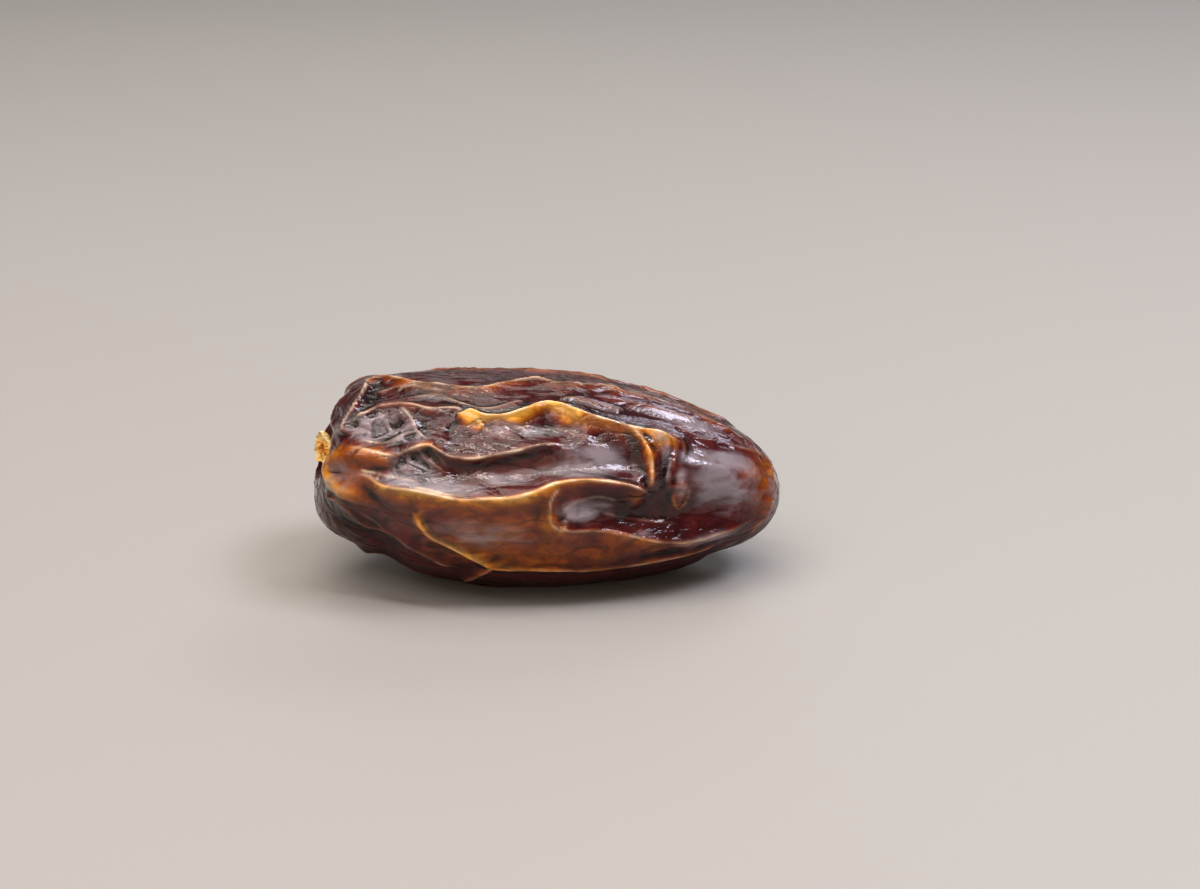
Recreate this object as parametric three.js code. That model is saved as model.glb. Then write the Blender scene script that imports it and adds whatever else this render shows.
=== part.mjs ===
// A medjool date lying on its side: a blunt stem end towards -X, a tapering apex towards +X, and a skin
// that has dried into raised folds. Millimetres, +Z up. The front is the side towards -Y.
import * as THREE from 'three';

// The fruit's body without its folds: round rings whose radius and middle height change along X.
const body = {
  radii: [
    [-25, 7.2], [-21, 8.7], [-17.5, 9.2], [-14, 10.4], [-6, 11.1], [2, 11.1], [9.5, 9.9],
    [14.6, 8.4], [18.1, 7.0], [21.5, 6.3], [25, 6.0],
  ],
  heights: [
    [-25, -1.2], [-23.2, 0.3], [-21, 1.8], [-17.5, 2.0], [-14, 1.2], [-6, 0.1], [4, -0.3],
    [14, -0.65], [25, -1.6],
  ],
  stemEnd: -25,
  apexEnd: 25,
  stemCap: 6.5, // length over which the end rounds off
  apexCap: 6.5,
  widening: 1.05, // width over height
  floor: -10.9, // height at which the underside is pressed flat
};

// The skin is cut into rings along the fruit and sectors round it.
const skinRings = 60;
const skinSectors = 98;

// The folds of the front are drawn as seen from here: degrees above level, and mm to the middle line.
const frontView = { tilt: 21, distance: 205 };

// The shallow seat that the calyx grows in, at the stem end. It faces along its axis.
const seat = {
  centre: new THREE.Vector3(-23.0, -0.9, 4.0),
  axis: new THREE.Vector3(-1, -0.75, 0.3).normalize(),
  depth: 0.4,
  bowl: 0.03, // rise of its floor towards the rim, in mm per mm squared
  radius: 2.2, // of the floor
  rim: 1.2, // width of the slope round the floor
};

// The dry calyx: three petals round the scar of the stalk, with ragged edges that curl off the seat.
const calyx = {
  petals: 3,
  radius: 1.75,
  lobing: 0.14, // share of the radius by which the petals stand out
  teeth: 8,
  raggedness: 0.06, // share of the radius by which the teeth stand out
  thickness: 0.8,
  thinning: 0.35, // share of the thickness that is lost towards the edge
  curl: 0.6, // how far the edge stands off the seat
  upperCurl: 0.3, // how much further it does so at the top, and less at the bottom
  scar: { radius: 0.6, width: 0.25, rise: 0.3 },
  gap: 0.3, // to the seat's floor
  rings: 9,
  sectors: 56,
};

// Folds on the front: [along, up] in mm from the middle of the view, listed from the stem end. width is
// given for the side that faces up on a fold drawn from left to right, and for the other side. lean
// shifts the crest towards the first of them, as a share of its height.
const frontFolds = {
  brow: {
    height: 1.2, width: [0.65, 1.25], lean: 0.4, fade: [2, 4],
    points: [
      [-10.2, 7.9], [-8.2, 7.4], [-6.6, 6.9], [-4.4, 6.9], [-2.2, 7.5], [-0.2, 8.15], [1.4, 7.9],
      [4.2, 6.9], [7.3, 5.9], [11.0, 4.8], [15.0, 4.2],
    ],
  },
  browLeft: {
    height: 0.55, width: [0.6, 0.8], lean: 0.2, fade: [1, 1],
    points: [
      [-20.7, 6.5], [-19.3, 7.4], [-17.6, 8.2], [-15.2, 8.4], [-12.6, 7.8], [-10.4, 7.9],
      [-8.6, 7.6],
    ],
  },
  browTurn: {
    height: 1.0, width: [0.9, 0.6], lean: 0.1, fade: [0, 1.5],
    points: [[8.6, 5.4], [9.9, 4.2], [10.7, 2.6], [11.0, 0.8], [10.9, -0.6], [10.4, -1.7]],
  },
  browSpur: {
    height: 0.65, width: [0.45, 0.5], lean: 0.2, fade: [0.5, 0.5],
    points: [[-9.9, 7.5], [-8.7, 6.9], [-7.4, 6.2], [-6.8, 5.4]],
  },
  crown: {
    height: 0.8, width: [0.5, 0.9], lean: 0.35, fade: [0.5, 3],
    points: [
      [-19.4, 10.6], [-17.6, 11.2], [-14.6, 10.7], [-11.4, 10.3], [-7.4, 9.9], [-4.2, 10.5],
      [-1.2, 10.9], [1.0, 10.4], [3.4, 10.3], [7.0, 9.9], [10.0, 9.2],
    ],
  },
  stemCliff: {
    height: 0.9, width: [0.55, 0.7], lean: 0.2, fade: [0.5, 0.5],
    points: [[-19.2, 10.8], [-19.6, 9.8], [-20.4, 8.2], [-21.2, 6.6], [-21.8, 4.8]],
  },
  shoulder: {
    height: 0.4, width: [0.8, 0.8], lean: 0, fade: [1, 1],
    points: [[-21.1, 9.3], [-22.4, 7.4], [-22.9, 5.2]],
  },
  middle: {
    height: 0.75, width: [0.9, 0.7], lean: -0.1, fade: [3, 4],
    points: [
      [-16.8, 2.7], [-14.6, 3.7], [-12.6, 4.0], [-10.6, 2.9], [-7.9, 2.6], [-5.4, 3.0],
      [-3.0, 3.4], [-0.6, 4.0], [2.5, 4.2],
    ],
  },
  hook: {
    height: 1.2, width: [1.15, 1.15], lean: 0, fade: [3, 7], sharpness: 2.2,
    points: [
      [-14.8, 2.4], [-17.4, 2.7], [-20.0, 2.8], [-22.0, 2.3], [-23.0, 0.8], [-22.6, -0.8],
      [-21.2, -1.7], [-18.8, -2.2], [-15.6, -2.7],
    ],
  },
  lip: {
    height: 1.4, width: [1.25, 1.6], lean: 0.15, fade: [4, 2],
    points: [
      [-20.4, 0.9], [-19.2, 0.3], [-17.4, -0.5], [-14.6, -1.0], [-11.6, -1.7], [-9.4, -2.15],
      [-6.5, -2.1], [-3.4, -2.0], [-1.2, -1.4], [1.0, -0.5], [4.0, -0.2], [7.2, -0.5], [9.6, -1.2],
      [11.4, -2.0],
    ],
  },
  lipDrop: {
    height: 0.85, width: [0.7, 1.3], lean: 0.2, fade: [0.5, 0.5],
    points: [[1.4, -0.9], [0.5, -2.0], [0.2, -3.4], [0.5, -4.8], [1.8, -5.6]],
  },
  keel: {
    height: 1.0, width: [0.95, 1.5], lean: 0.1, fade: [1, 5],
    points: [
      [0.9, -5.0], [2.6, -5.7], [5.4, -5.8], [8.6, -6.4], [12.2, -7.1], [15.4, -7.0], [18.4, -6.3],
      [21.0, -5.6], [22.8, -4.8],
    ],
  },
  panelEdge: {
    height: 0.75, width: [0.9, 0.7], lean: 0, fade: [2, 3],
    points: [
      [-14.4, -2.6], [-14.0, -4.0], [-12.6, -5.8], [-10.4, -7.0], [-7.8, -8.5], [-5.8, -9.5],
      [-2.4, -9.7], [3.0, -9.8], [9.3, -9.3], [14.4, -8.4], [19.6, -7.2],
    ],
  },
  chin: {
    height: 0.6, width: [0.8, 0.8], lean: 0, fade: [1, 2],
    points: [[-23.6, -2.0], [-21.2, -3.3], [-19.1, -5.2], [-15.8, -6.3], [-12.6, -8.2], [-9.4, -9.8]],
  },
  underSpur: {
    height: 0.7, width: [0.7, 0.7], lean: 0, fade: [1, 0.5],
    points: [[-9.2, -11.0], [-7.4, -10.3], [-5.8, -9.4]],
  },
  endCrease: {
    height: 0.45, width: [0.6, 0.5], lean: 0, fade: [1, 1],
    points: [[13.4, 4.6], [13.6, 2.4], [13.0, 0.2], [13.2, -1.8]],
  },
  endRim: {
    height: 0.2, width: [0.8, 0.8], lean: 0, fade: [2.5, 2.5],
    points: [[22.6, 4.2], [23.8, 2.0], [24.2, -0.6], [23.8, -3.4], [22.6, -5.8]],
  },
  upperEdge: {
    height: 0.35, width: [0.8, 0.8], lean: 0, fade: [2, 2],
    points: [[3.4, 10.3], [9.3, 9.2], [14.4, 7.7], [17.8, 6.0], [21.0, 4.2]],
  },
  lidLine: {
    height: 0.4, width: [0.4, 0.6], lean: 0, fade: [1, 1],
    points: [[1.2, 8.9], [3.5, 8.9], [6.0, 8.3], [8.6, 7.6]],
  },
};

// Folds on the sides that the front view doesn't show: [mm along X, degrees round], where 90 degrees is
// the top and 270 is the underside.
const farFolds = {
  spine: {
    height: 0.8, width: [1.0, 0.8], lean: 0.2, fade: [2, 3],
    points: [[-22, 122], [-15, 127], [-8, 117], [-1, 113], [6, 116], [15, 121], [21, 112]],
  },
  backUpper: {
    height: 1.15, width: [0.9, 1.4], lean: 0.4, fade: [1, 3],
    points: [[-22.5, 160], [-15, 150], [-8, 158], [-1, 147], [6, 152], [13, 143], [19, 148], [23, 142]],
  },
  backMiddle: {
    height: 1.0, width: [1.3, 0.8], lean: -0.3, fade: [1, 2],
    points: [[-23, 190], [-16, 178], [-10, 185], [-3, 175], [4, 181], [10, 172], [17, 171]],
  },
  backBranch: {
    height: 0.8, width: [0.8, 0.8], lean: 0.2, fade: [0.5, 1],
    points: [[-3, 175], [1, 168], [6, 163], [11, 152]],
  },
  backLower: {
    height: 1.2, width: [0.8, 1.6], lean: 0.4, fade: [1, 2],
    points: [[-22, 214], [-14, 203], [-6, 210], [1, 200], [8, 206], [15, 197], [22, 199]],
  },
  backSkirt: {
    height: 0.9, width: [0.8, 1.2], lean: 0, fade: [1, 2],
    points: [[-22.5, 238], [-15, 228], [-8, 235], [0, 225], [8, 231], [14, 222], [20, 225]],
  },
  baseFar: {
    height: 0.7, width: [1.1, 1.1], lean: 0, fade: [2, 2],
    points: [[-21, 264], [-12, 254], [-4, 260], [4, 251], [12, 257], [19, 249]],
  },
  baseNear: {
    height: 0.7, width: [1.1, 1.1], lean: 0, fade: [2, 2],
    points: [[-21, 290], [-13, 282], [-5, 287], [3, 279], [11, 285], [18, 280]],
  },
  crossBack: {
    height: 0.7, width: [0.7, 0.7], lean: 0, fade: [0.5, 0.5],
    points: [[-10, 185], [-8.5, 197], [-6, 210]],
  },
  crossLower: {
    height: 0.7, width: [0.7, 0.7], lean: 0, fade: [0.5, 0.5],
    points: [[8, 206], [10, 217], [8, 231]],
  },
  crossSkirt: {
    height: 0.6, width: [0.7, 0.7], lean: 0, fade: [0.5, 0.5],
    points: [[-8, 235], [-10.5, 244], [-12, 254]],
  },
  crossSpine: {
    height: 0.6, width: [0.7, 0.7], lean: 0, fade: [0.5, 0.5],
    points: [[-8, 117], [-6, 133], [-1, 147]],
  },
};

// Broad swellings and hollows between the folds: where they are, their half sizes [along, across] and rise.
const frontSwellings = [
  { at: [-2.0, 0.9], size: [10.5, 1.8], rise: -0.9 }, // the long trough above the lip
  { at: [-1.0, 5.4], size: [9, 1.2], rise: -0.45 }, // under the brow
  { at: [12.5, -3.9], size: [9.0, 2.1], rise: -1.15 }, // the trough above the keel
  { at: [-7.0, -5.0], size: [6, 2.6], rise: 0.45 }, // the flat panel under the lip
  { at: [6.0, -7.9], size: [5, 1.2], rise: 0.3 },
  { at: [18.0, 1.4], size: [4.2, 3.0], rise: 0.5 }, // the smooth end
  { at: [14.4, -1.8], size: [0.8, 1.9], rise: 0.6 }, // a small drop-shaped blister
  { at: [9.5, 7.0], size: [7, 1.4], rise: -0.4 },
  { at: [-17.0, 5.4], size: [3.4, 1.8], rise: -0.4 },
  { at: [-12.0, 6.0], size: [3.4, 1.4], rise: -0.3 },
  { at: [-19.5, -5.4], size: [4, 2.0], rise: -0.5 },
];
const farSwellings = [
  { at: [-14, 140], size: [5, 2.2], rise: -0.5 },
  { at: [5, 135], size: [7, 2.2], rise: -0.5 },
  { at: [-12, 168], size: [5, 2.0], rise: -0.6 },
  { at: [14, 160], size: [5, 2.0], rise: 0.4 },
  { at: [0, 190], size: [7, 2.2], rise: -0.7 },
  { at: [-15, 215], size: [4, 2.0], rise: 0.4 },
  { at: [12, 212], size: [5, 2.0], rise: -0.6 },
  { at: [-2, 216], size: [6, 2.0], rise: -0.5 },
];

const foldShape = {
  sharpness: 1.25, // 1 is a knife edge and 2 is a round one
  blend: 4, // how crisply folds that meet run into each other
  samples: 8, // points measured for each one that is drawn
};

const tiny = 0.02; // mm or radians, for slopes taken from two points
const degrees = THREE.MathUtils.degToRad;
const { clamp, lerp } = THREE.MathUtils;
const smooth = (from, to, value) => THREE.MathUtils.smoothstep(value, from, to);

// The height at x of a smooth curve through points whose x rises.
function curveThrough(points, x) {
  const last = points.length - 1;
  const slopeAt = (i) => {
    const [ahead, behind] = [points[Math.min(i + 1, last)], points[Math.max(i - 1, 0)]];
    return (ahead[1] - behind[1]) / (ahead[0] - behind[0]);
  };
  const inside = clamp(x, points[0][0], points[last][0]);
  const next = Math.max(points.findIndex(([at]) => at > inside), 0) || last;
  const [[x0, y0], [x1, y1]] = [points[next - 1], points[next]];
  const span = x1 - x0;
  const w = (inside - x0) / span;
  const lean = ((w - 1) ** 2 * w * slopeAt(next - 1) + (w - 1) * w ** 2 * slopeAt(next)) * span;
  return y0 + (3 - 2 * w) * w ** 2 * (y1 - y0) + lean;
}

// How far a round end has opened at a distance from its tip, from 0 to 1.
const capAt = (distance, length) => Math.sqrt(1 - (1 - clamp(distance / length, 0, 1)) ** 2);

function radiusAt(x) {
  const ends = capAt(x - body.stemEnd, body.stemCap) * capAt(body.apexEnd - x, body.apexCap);
  return curveThrough(body.radii, x) * ends;
}

const middleLineAt = (x) => curveThrough(body.heights, x);

// The smooth body at a place along it and an angle round it, where 0 degrees is the front.
function bodyPoint(x, round) {
  const radius = radiusAt(x);
  return new THREE.Vector3(
    x,
    -radius * body.widening * Math.cos(round),
    middleLineAt(x) + radius * Math.sin(round),
  );
}

// The body's outward direction, from points a little either side.
function bodyNormal(x, round) {
  const inside = clamp(x, body.stemEnd + tiny, body.apexEnd - tiny);
  const along = bodyPoint(inside + tiny, round).sub(bodyPoint(inside - tiny, round));
  const across = bodyPoint(inside, round + tiny).sub(bodyPoint(inside, round - tiny));
  return along.cross(across).normalize();
}

// Lays a point drawn in the front view on the body: [along, up] in mm becomes [X, angle round]. What
// stands this far out of the body there is seen at the point.
function fromFront([along, up], lift = 0) {
  const tilt = degrees(frontView.tilt);
  const steepest = 0.98; // of the sine, where the body turns out of view
  const rise = up - middleLineAt(along) * Math.cos(tilt);
  const depth = Math.sqrt(Math.max((radiusAt(along) + lift) ** 2 - rise ** 2, 0));
  const nearer = 1 - depth / frontView.distance;
  const x = along * nearer;
  const share = (rise * nearer) / Math.max(radiusAt(x) + lift, 0.5);
  return [x, tilt + Math.asin(clamp(share, -steepest, steepest))];
}

const fromFar = ([x, angle]) => [x, degrees(angle)];

// A fold's line on the body, with the sideways direction at each point.
function foldLine({ points, ...shape }, layOnBody) {
  const drawn = points.map((point) => new THREE.Vector2(...layOnBody(point, shape.height)));
  const samples = new THREE.SplineCurve(drawn).getPoints(foldShape.samples * (points.length - 1));
  const places = samples.map(({ x, y }) => bodyPoint(x, y));
  const stations = [0];
  for (let i = 1; i < places.length; i += 1) {
    stations.push(stations[i - 1] + places[i].distanceTo(places[i - 1]));
  }
  const sides = samples.map(({ x, y }, i) => {
    const next = places[Math.min(i + 1, places.length - 1)];
    const last = places[Math.max(i - 1, 0)];
    return bodyNormal(x, y).cross(next.clone().sub(last)).normalize();
  });
  return { sharpness: foldShape.sharpness, ...shape, places, stations, sides, total: stations.at(-1) };
}

// The nearest point of a fold's line: how far along the line it is, and how far off to its side.
function nearestOnFold(fold, point) {
  let best = { distance: Infinity };
  const edge = new THREE.Line3();
  const foot = new THREE.Vector3();
  for (let i = 0; i + 1 < fold.places.length; i += 1) {
    edge.set(fold.places[i], fold.places[i + 1]);
    const share = edge.closestPointToPointParameter(point, true);
    edge.at(share, foot);
    const distance = foot.distanceTo(point);
    if (distance < best.distance) {
      const station = lerp(fold.stations[i], fold.stations[i + 1], share);
      best = { distance, station, side: fold.sides[i], off: point.clone().sub(foot).dot(fold.sides[i]) };
    }
  }
  return best;
}

// How high a fold lifts the skin at a point, and which way its crest is pulled.
function liftOf(fold, point) {
  const near = nearestOnFold(fold, point);
  const [fadeIn, fadeOut] = fold.fade;
  const fromEnd = fold.total - near.station;
  const ends = smooth(-tiny, fadeIn + tiny, near.station) * smooth(-tiny, fadeOut + tiny, fromEnd);
  const [ahead, behind] = fold.width;
  const sideShare = near.distance ? near.off / near.distance : 0;
  const width = (ahead + behind) / 2 + ((ahead - behind) / 2) * sideShare;
  const lift = fold.height * ends * Math.exp(-((near.distance / width) ** fold.sharpness));
  return { lift, pull: near.side.clone().multiplyScalar(fold.lean * lift) };
}

// A swelling's centre on the body and the directions of its two half sizes.
function swellingOn({ at, size, rise }, layOnBody) {
  const [x, round] = layOnBody(at);
  const centre = bodyPoint(x, round);
  const along = bodyPoint(x + tiny, round).sub(centre).normalize();
  const across = bodyNormal(x, round).cross(along).normalize();
  return { centre, along, across, size, rise };
}

function swellAt(swelling, point) {
  const offset = point.clone().sub(swelling.centre);
  const [halfLength, halfWidth] = swelling.size;
  const far = Math.max(offset.length() - Math.hypot(halfLength, halfWidth), 0);
  const [alongShare, acrossShare] = [
    offset.dot(swelling.along) / halfLength,
    offset.dot(swelling.across) / halfWidth,
  ];
  return swelling.rise * Math.exp(-(alongShare ** 2) - acrossShare ** 2 - far);
}

const folds = [
  ...Object.values(frontFolds).map((fold) => foldLine(fold, fromFront)),
  ...Object.values(farFolds).map((fold) => foldLine(fold, fromFar)),
];
const swellings = [
  ...frontSwellings.map((swelling) => swellingOn(swelling, fromFront)),
  ...farSwellings.map((swelling) => swellingOn(swelling, fromFar)),
];

// The height of the seat's floor along the seat's axis, at a distance from that axis.
const seatFloorAt = (reach) => -seat.depth + seat.bowl * reach ** 2;

// Where a point lies from the seat. The axis also passes through the far side, which isn't inside it.
function seatOffsets(point) {
  const offset = point.clone().sub(seat.centre);
  const height = offset.dot(seat.axis);
  const reach = offset.addScaledVector(seat.axis, -height).length();
  const inside = height > -seat.radius ? 1 - smooth(seat.radius, seat.radius + seat.rim, reach) : 0;
  return { height, reach, inside };
}

// The finished skin: the body, lifted by its folds and swellings, and pressed in at the seat.
function skinPoint(x, round) {
  const point = bodyPoint(x, round);
  const lifts = folds.map((fold) => liftOf(fold, point));
  const crest = lifts.reduce((sum, { lift }) => sum + lift ** foldShape.blend, 0) ** (1 / foldShape.blend);
  const pull = new THREE.Vector3();
  lifts.forEach((each) => {
    pull.addScaledVector(each.pull, crest ? (each.lift / crest) ** (foldShape.blend - 1) : 0);
  });
  const swell = swellings.reduce((sum, swelling) => sum + swellAt(swelling, point), 0);
  const { inside } = seatOffsets(point);
  const skin = point.clone().addScaledVector(bodyNormal(x, round), (crest + swell) * (1 - inside));
  skin.addScaledVector(pull, 1 - inside);
  const { height, reach } = seatOffsets(skin);
  skin.addScaledVector(seat.axis, (seatFloorAt(reach) - height) * inside);
  return skin;
}

// A closed skin from rows of points between two poles, each row running anticlockwise as seen from the
// last pole. Each square is split along the diagonal whose middle lies further out, as the folds do.
function closedSkin(firstPole, rows, lastPole) {
  const sectors = rows[0].length;
  const points = [firstPole, ...rows.flat(), lastPole];
  const middle = (a, b) => points[a].clone().add(points[b]).multiplyScalar(0.5);
  const at = (row, sector) => 1 + row * sectors + (sector % sectors);
  const last = points.length - 1;
  const faces = [];
  for (let s = 0; s < sectors; s += 1) {
    faces.push([0, at(0, s + 1), at(0, s)], [last, at(rows.length - 1, s), at(rows.length - 1, s + 1)]);
    for (let r = 0; r + 1 < rows.length; r += 1) {
      const [a, b, c, d] = [at(r, s), at(r, s + 1), at(r + 1, s + 1), at(r + 1, s)];
      const outwards = points[b].clone().sub(points[d]).cross(points[c].clone().sub(points[a]));
      const acOutside = middle(a, c).sub(middle(b, d)).dot(outwards) > 0;
      faces.push(...(acOutside ? [[a, b, c], [a, c, d]] : [[a, b, d], [b, c, d]]));
    }
  }
  return new THREE.BufferGeometry().setFromPoints(points).setIndex(faces.flat());
}

// The fruit's rings, from the apex to the stem end, closer together where the body turns in.
function fruitGeometry() {
  const middle = (body.apexEnd + body.stemEnd) / 2;
  const half = (body.apexEnd - body.stemEnd) / 2;
  const rows = [];
  for (let ring = 1; ring < skinRings; ring += 1) {
    const x = middle + half * Math.cos((Math.PI * ring) / skinRings);
    rows.push(Array.from({ length: skinSectors }, (_, s) => skinPoint(x, (2 * Math.PI * s) / skinSectors)));
  }
  return closedSkin(skinPoint(body.apexEnd, 0), rows, skinPoint(body.stemEnd, 0));
}

// How far the calyx reaches at an angle round it.
function calyxReach(angle) {
  const petals = calyx.lobing * Math.cos(angle * calyx.petals);
  const teeth = calyx.raggedness * Math.sin(angle * calyx.teeth + Math.sin(angle * calyx.petals));
  return calyx.radius * (1 + petals + teeth);
}

// The calyx's outer face above its under face: thinner towards the edge, with a ring round the scar.
function calyxThickness(reach, share) {
  const { radius, width, rise } = calyx.scar;
  const ring = rise * Math.exp(-(((reach - radius) / width) ** 2));
  return calyx.thickness * (1 - calyx.thinning * share ** 2) + ring;
}

function calyxGeometry() {
  const up = new THREE.Vector3(0, 0, 1);
  const right = up.clone().cross(seat.axis).normalize();
  const top = seat.axis.clone().cross(right);
  const place = (reach, angle, height) => seat.centre.clone()
    .addScaledVector(right, reach * Math.cos(angle))
    .addScaledVector(top, reach * Math.sin(angle))
    .addScaledVector(seat.axis, height);
  const ringOf = (share, heightAt) => Array.from({ length: calyx.sectors }, (_, s) => {
    const angle = (2 * Math.PI * s) / calyx.sectors;
    const reach = calyxReach(angle) * share;
    const curl = calyx.curl + calyx.upperCurl * Math.sin(angle);
    const under = seatFloorAt(reach) + calyx.gap + curl * share ** 4;
    return place(reach, angle, under + heightAt(reach, share));
  });
  const shares = Array.from({ length: calyx.rings }, (_, r) => (r + 1) / calyx.rings);
  const under = shares.map((share) => ringOf(share, () => 0));
  const over = shares.map((share) => ringOf(share, calyxThickness));
  const heart = (height) => place(0, 0, seatFloorAt(0) + calyx.gap + height);
  return closedSkin(heart(0), [...under, ...over.reverse()], heart(calyxThickness(0, 0)));
}

const skinMaterial = new THREE.MeshStandardMaterial({ color: 0x4a2015, roughness: 0.3, metalness: 0 });
const calyxMaterial = new THREE.MeshStandardMaterial({ color: 0xd9a45a, roughness: 0.7, metalness: 0 });

function sinkTo(geometry, lowest) {
  const positions = geometry.getAttribute('position');
  for (let i = 0; i < positions.count; i += 1) {
    positions.setZ(i, Math.max(positions.getZ(i), lowest));
  }
  return geometry;
}

// What lies below the floor is pressed flat, as a soft fruit's own weight does.
const fruitSkin = sinkTo(fruitGeometry(), body.floor);

const date = new THREE.Group();
const fruitMesh = new THREE.Mesh(fruitSkin, skinMaterial);
fruitMesh.name = 'fruit';
const calyxMesh = new THREE.Mesh(calyxGeometry(), calyxMaterial);
calyxMesh.name = 'calyx';
date.add(fruitMesh, calyxMesh);

// The origin is under the middle of the date, on the surface that it lies on.
const box = new THREE.Box3().setFromObject(date);
const middleOfBox = box.getCenter(new THREE.Vector3());
date.position.set(-middleOfBox.x, -middleOfBox.y, -box.min.z);

export default date;
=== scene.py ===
# A medjool date lying on a pale floor, seen from its side and a little above.
# The formulas work in mm round the date's own middle line. Its shift into the frame is added last.
import math

import bpy
import numpy as np
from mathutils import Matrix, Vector, noise


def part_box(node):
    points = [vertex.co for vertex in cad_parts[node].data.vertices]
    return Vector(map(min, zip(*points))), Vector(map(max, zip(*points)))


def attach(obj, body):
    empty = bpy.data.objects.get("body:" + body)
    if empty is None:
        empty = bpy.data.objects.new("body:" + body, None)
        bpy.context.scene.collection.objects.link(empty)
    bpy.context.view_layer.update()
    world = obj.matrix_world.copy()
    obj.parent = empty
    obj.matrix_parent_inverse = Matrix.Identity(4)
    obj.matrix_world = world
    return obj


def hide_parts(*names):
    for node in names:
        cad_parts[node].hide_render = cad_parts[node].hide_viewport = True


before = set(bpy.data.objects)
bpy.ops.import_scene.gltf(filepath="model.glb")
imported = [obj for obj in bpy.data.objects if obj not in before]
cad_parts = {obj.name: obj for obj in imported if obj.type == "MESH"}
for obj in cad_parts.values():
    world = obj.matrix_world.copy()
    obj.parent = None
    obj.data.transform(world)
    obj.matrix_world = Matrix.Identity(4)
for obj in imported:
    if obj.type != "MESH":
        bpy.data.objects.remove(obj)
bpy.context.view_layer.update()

view = {
    "tilt": 21,  # degrees that the camera looks down
    "distance": 205,  # mm from the lens to the date's middle
    "imageSize": (1200, 889),
    "dateMiddleAt": (547, 478),  # where the date's middle falls in the image, in pixels
    "pixelsPerMm": 9.28,
    "sensorWidth": 36,
    "rim": 0.98,  # a point drawn further out than this share of the radius is laid there
}
tiny = 1e-9  # keeps a division away from zero


def linearColour(hexCode):
    channels = [int(hexCode[i:i + 2], 16) / 255 for i in (1, 3, 5)]
    return [c / 12.92 if c <= 0.04045 else ((c + 0.055) / 1.055) ** 2.4 for c in channels] + [1]


def smoothStep(low, high, value):
    share = np.clip((value - low) / (high - low), 0, 1)
    return share * share * (3 - 2 * share)


def unit(vectors):
    return vectors / np.maximum(np.linalg.norm(vectors, axis=-1, keepdims=True), tiny)


# The body without its folds: radius and height of the middle line at places along it
body = {
    "radii": [
        (-25, 7.2), (-21, 8.7), (-17.5, 9.2), (-14, 10.4), (-6, 11.1), (2, 11.1), (9.5, 9.9),
        (14.6, 8.4), (18.1, 7), (21.5, 6.3), (25, 6),
    ],
    "heights": [
        (-25, -1.2), (-23.2, 0.3), (-21, 1.8), (-17.5, 2), (-14, 1.2), (-6, 0.1), (4, -0.3),
        (14, -0.65), (25, -1.6),
    ],
    "stemEnd": -25,
    "apexEnd": 25,
    "stemCap": 6.5,  # length over which the end rounds off
    "apexCap": 6.5,
    "widening": 1.05,  # width over height
    "floor": -10.9,  # height at which the underside is pressed flat
    "leastRadius": 0.5,  # mm, stands in for a smaller one where the ends close
}

# The hollow in the stem end that the calyx sits in
seat = {
    "centre": (-23, -0.9, 4),
    "axis": (-1, -0.75, 0.3),
    "depth": 0.4,
    "bowl": 0.03,  # rise of its floor towards the rim, mm per mm squared
    "radius": 2.2,
    "rim": 1.2,
}
seatAxis = unit(np.array(seat["axis"], float))


# A smooth curve through points, read off at x
def curveThrough(points, x):
    px, py = (np.array(column, float) for column in zip(*points))
    x = np.clip(np.asarray(x, float), px[0], px[-1])
    count = len(px)
    ahead = np.minimum(np.arange(count) + 1, count - 1)
    behind = np.maximum(np.arange(count) - 1, 0)
    slopes = (py[ahead] - py[behind]) / (px[ahead] - px[behind])
    i = np.clip(np.searchsorted(px, x, side="right") - 1, 0, count - 2)
    span = px[i + 1] - px[i]
    w = (x - px[i]) / span
    rise = (3 - 2 * w) * w ** 2
    lean = ((w - 1) ** 2 * w * slopes[i] + (w - 1) * w ** 2 * slopes[i + 1]) * span
    return py[i] + rise * (py[i + 1] - py[i]) + lean


def capAt(distance, length):
    share = np.clip(distance / length, 0, 1)
    return np.sqrt(1 - (1 - share) ** 2)


def radiusAt(x):
    ends = capAt(x - body["stemEnd"], body["stemCap"]) * capAt(body["apexEnd"] - x, body["apexCap"])
    return curveThrough(body["radii"], x) * ends


# turn is 0 towards the viewer and a quarter turn on top
def bodyPoints(x, turn):
    radius = radiusAt(x)
    out = -radius * body["widening"] * np.cos(turn)
    return np.stack([x, out, curveThrough(body["heights"], x) + radius * np.sin(turn)], -1)


def bodyNormals(x, turn):
    step = 0.02
    inside = np.clip(x, body["stemEnd"] + step, body["apexEnd"] - step)
    along = bodyPoints(inside + step, turn) - bodyPoints(inside - step, turn)
    across = bodyPoints(inside, turn + step) - bodyPoints(inside, turn - step)
    return unit(np.cross(along, across))


# A point drawn in the front view, in mm from its middle, laid on the body so that what stands
# this far out of the skin there is seen at the point
def fromFront(point, lift=0):
    tilt = math.radians(view["tilt"])
    along, up = point
    rise = up - curveThrough(body["heights"], along) * math.cos(tilt)
    depth = math.sqrt(max((radiusAt(along) + lift) ** 2 - rise ** 2, 0))
    nearer = 1 - depth / view["distance"]
    x = along * nearer
    share = rise * nearer / max(radiusAt(x) + lift, body["leastRadius"])
    return x, tilt + math.asin(min(max(share, -view["rim"]), view["rim"]))


def fromFar(point, lift=0):
    return point[0], math.radians(point[1])


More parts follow.
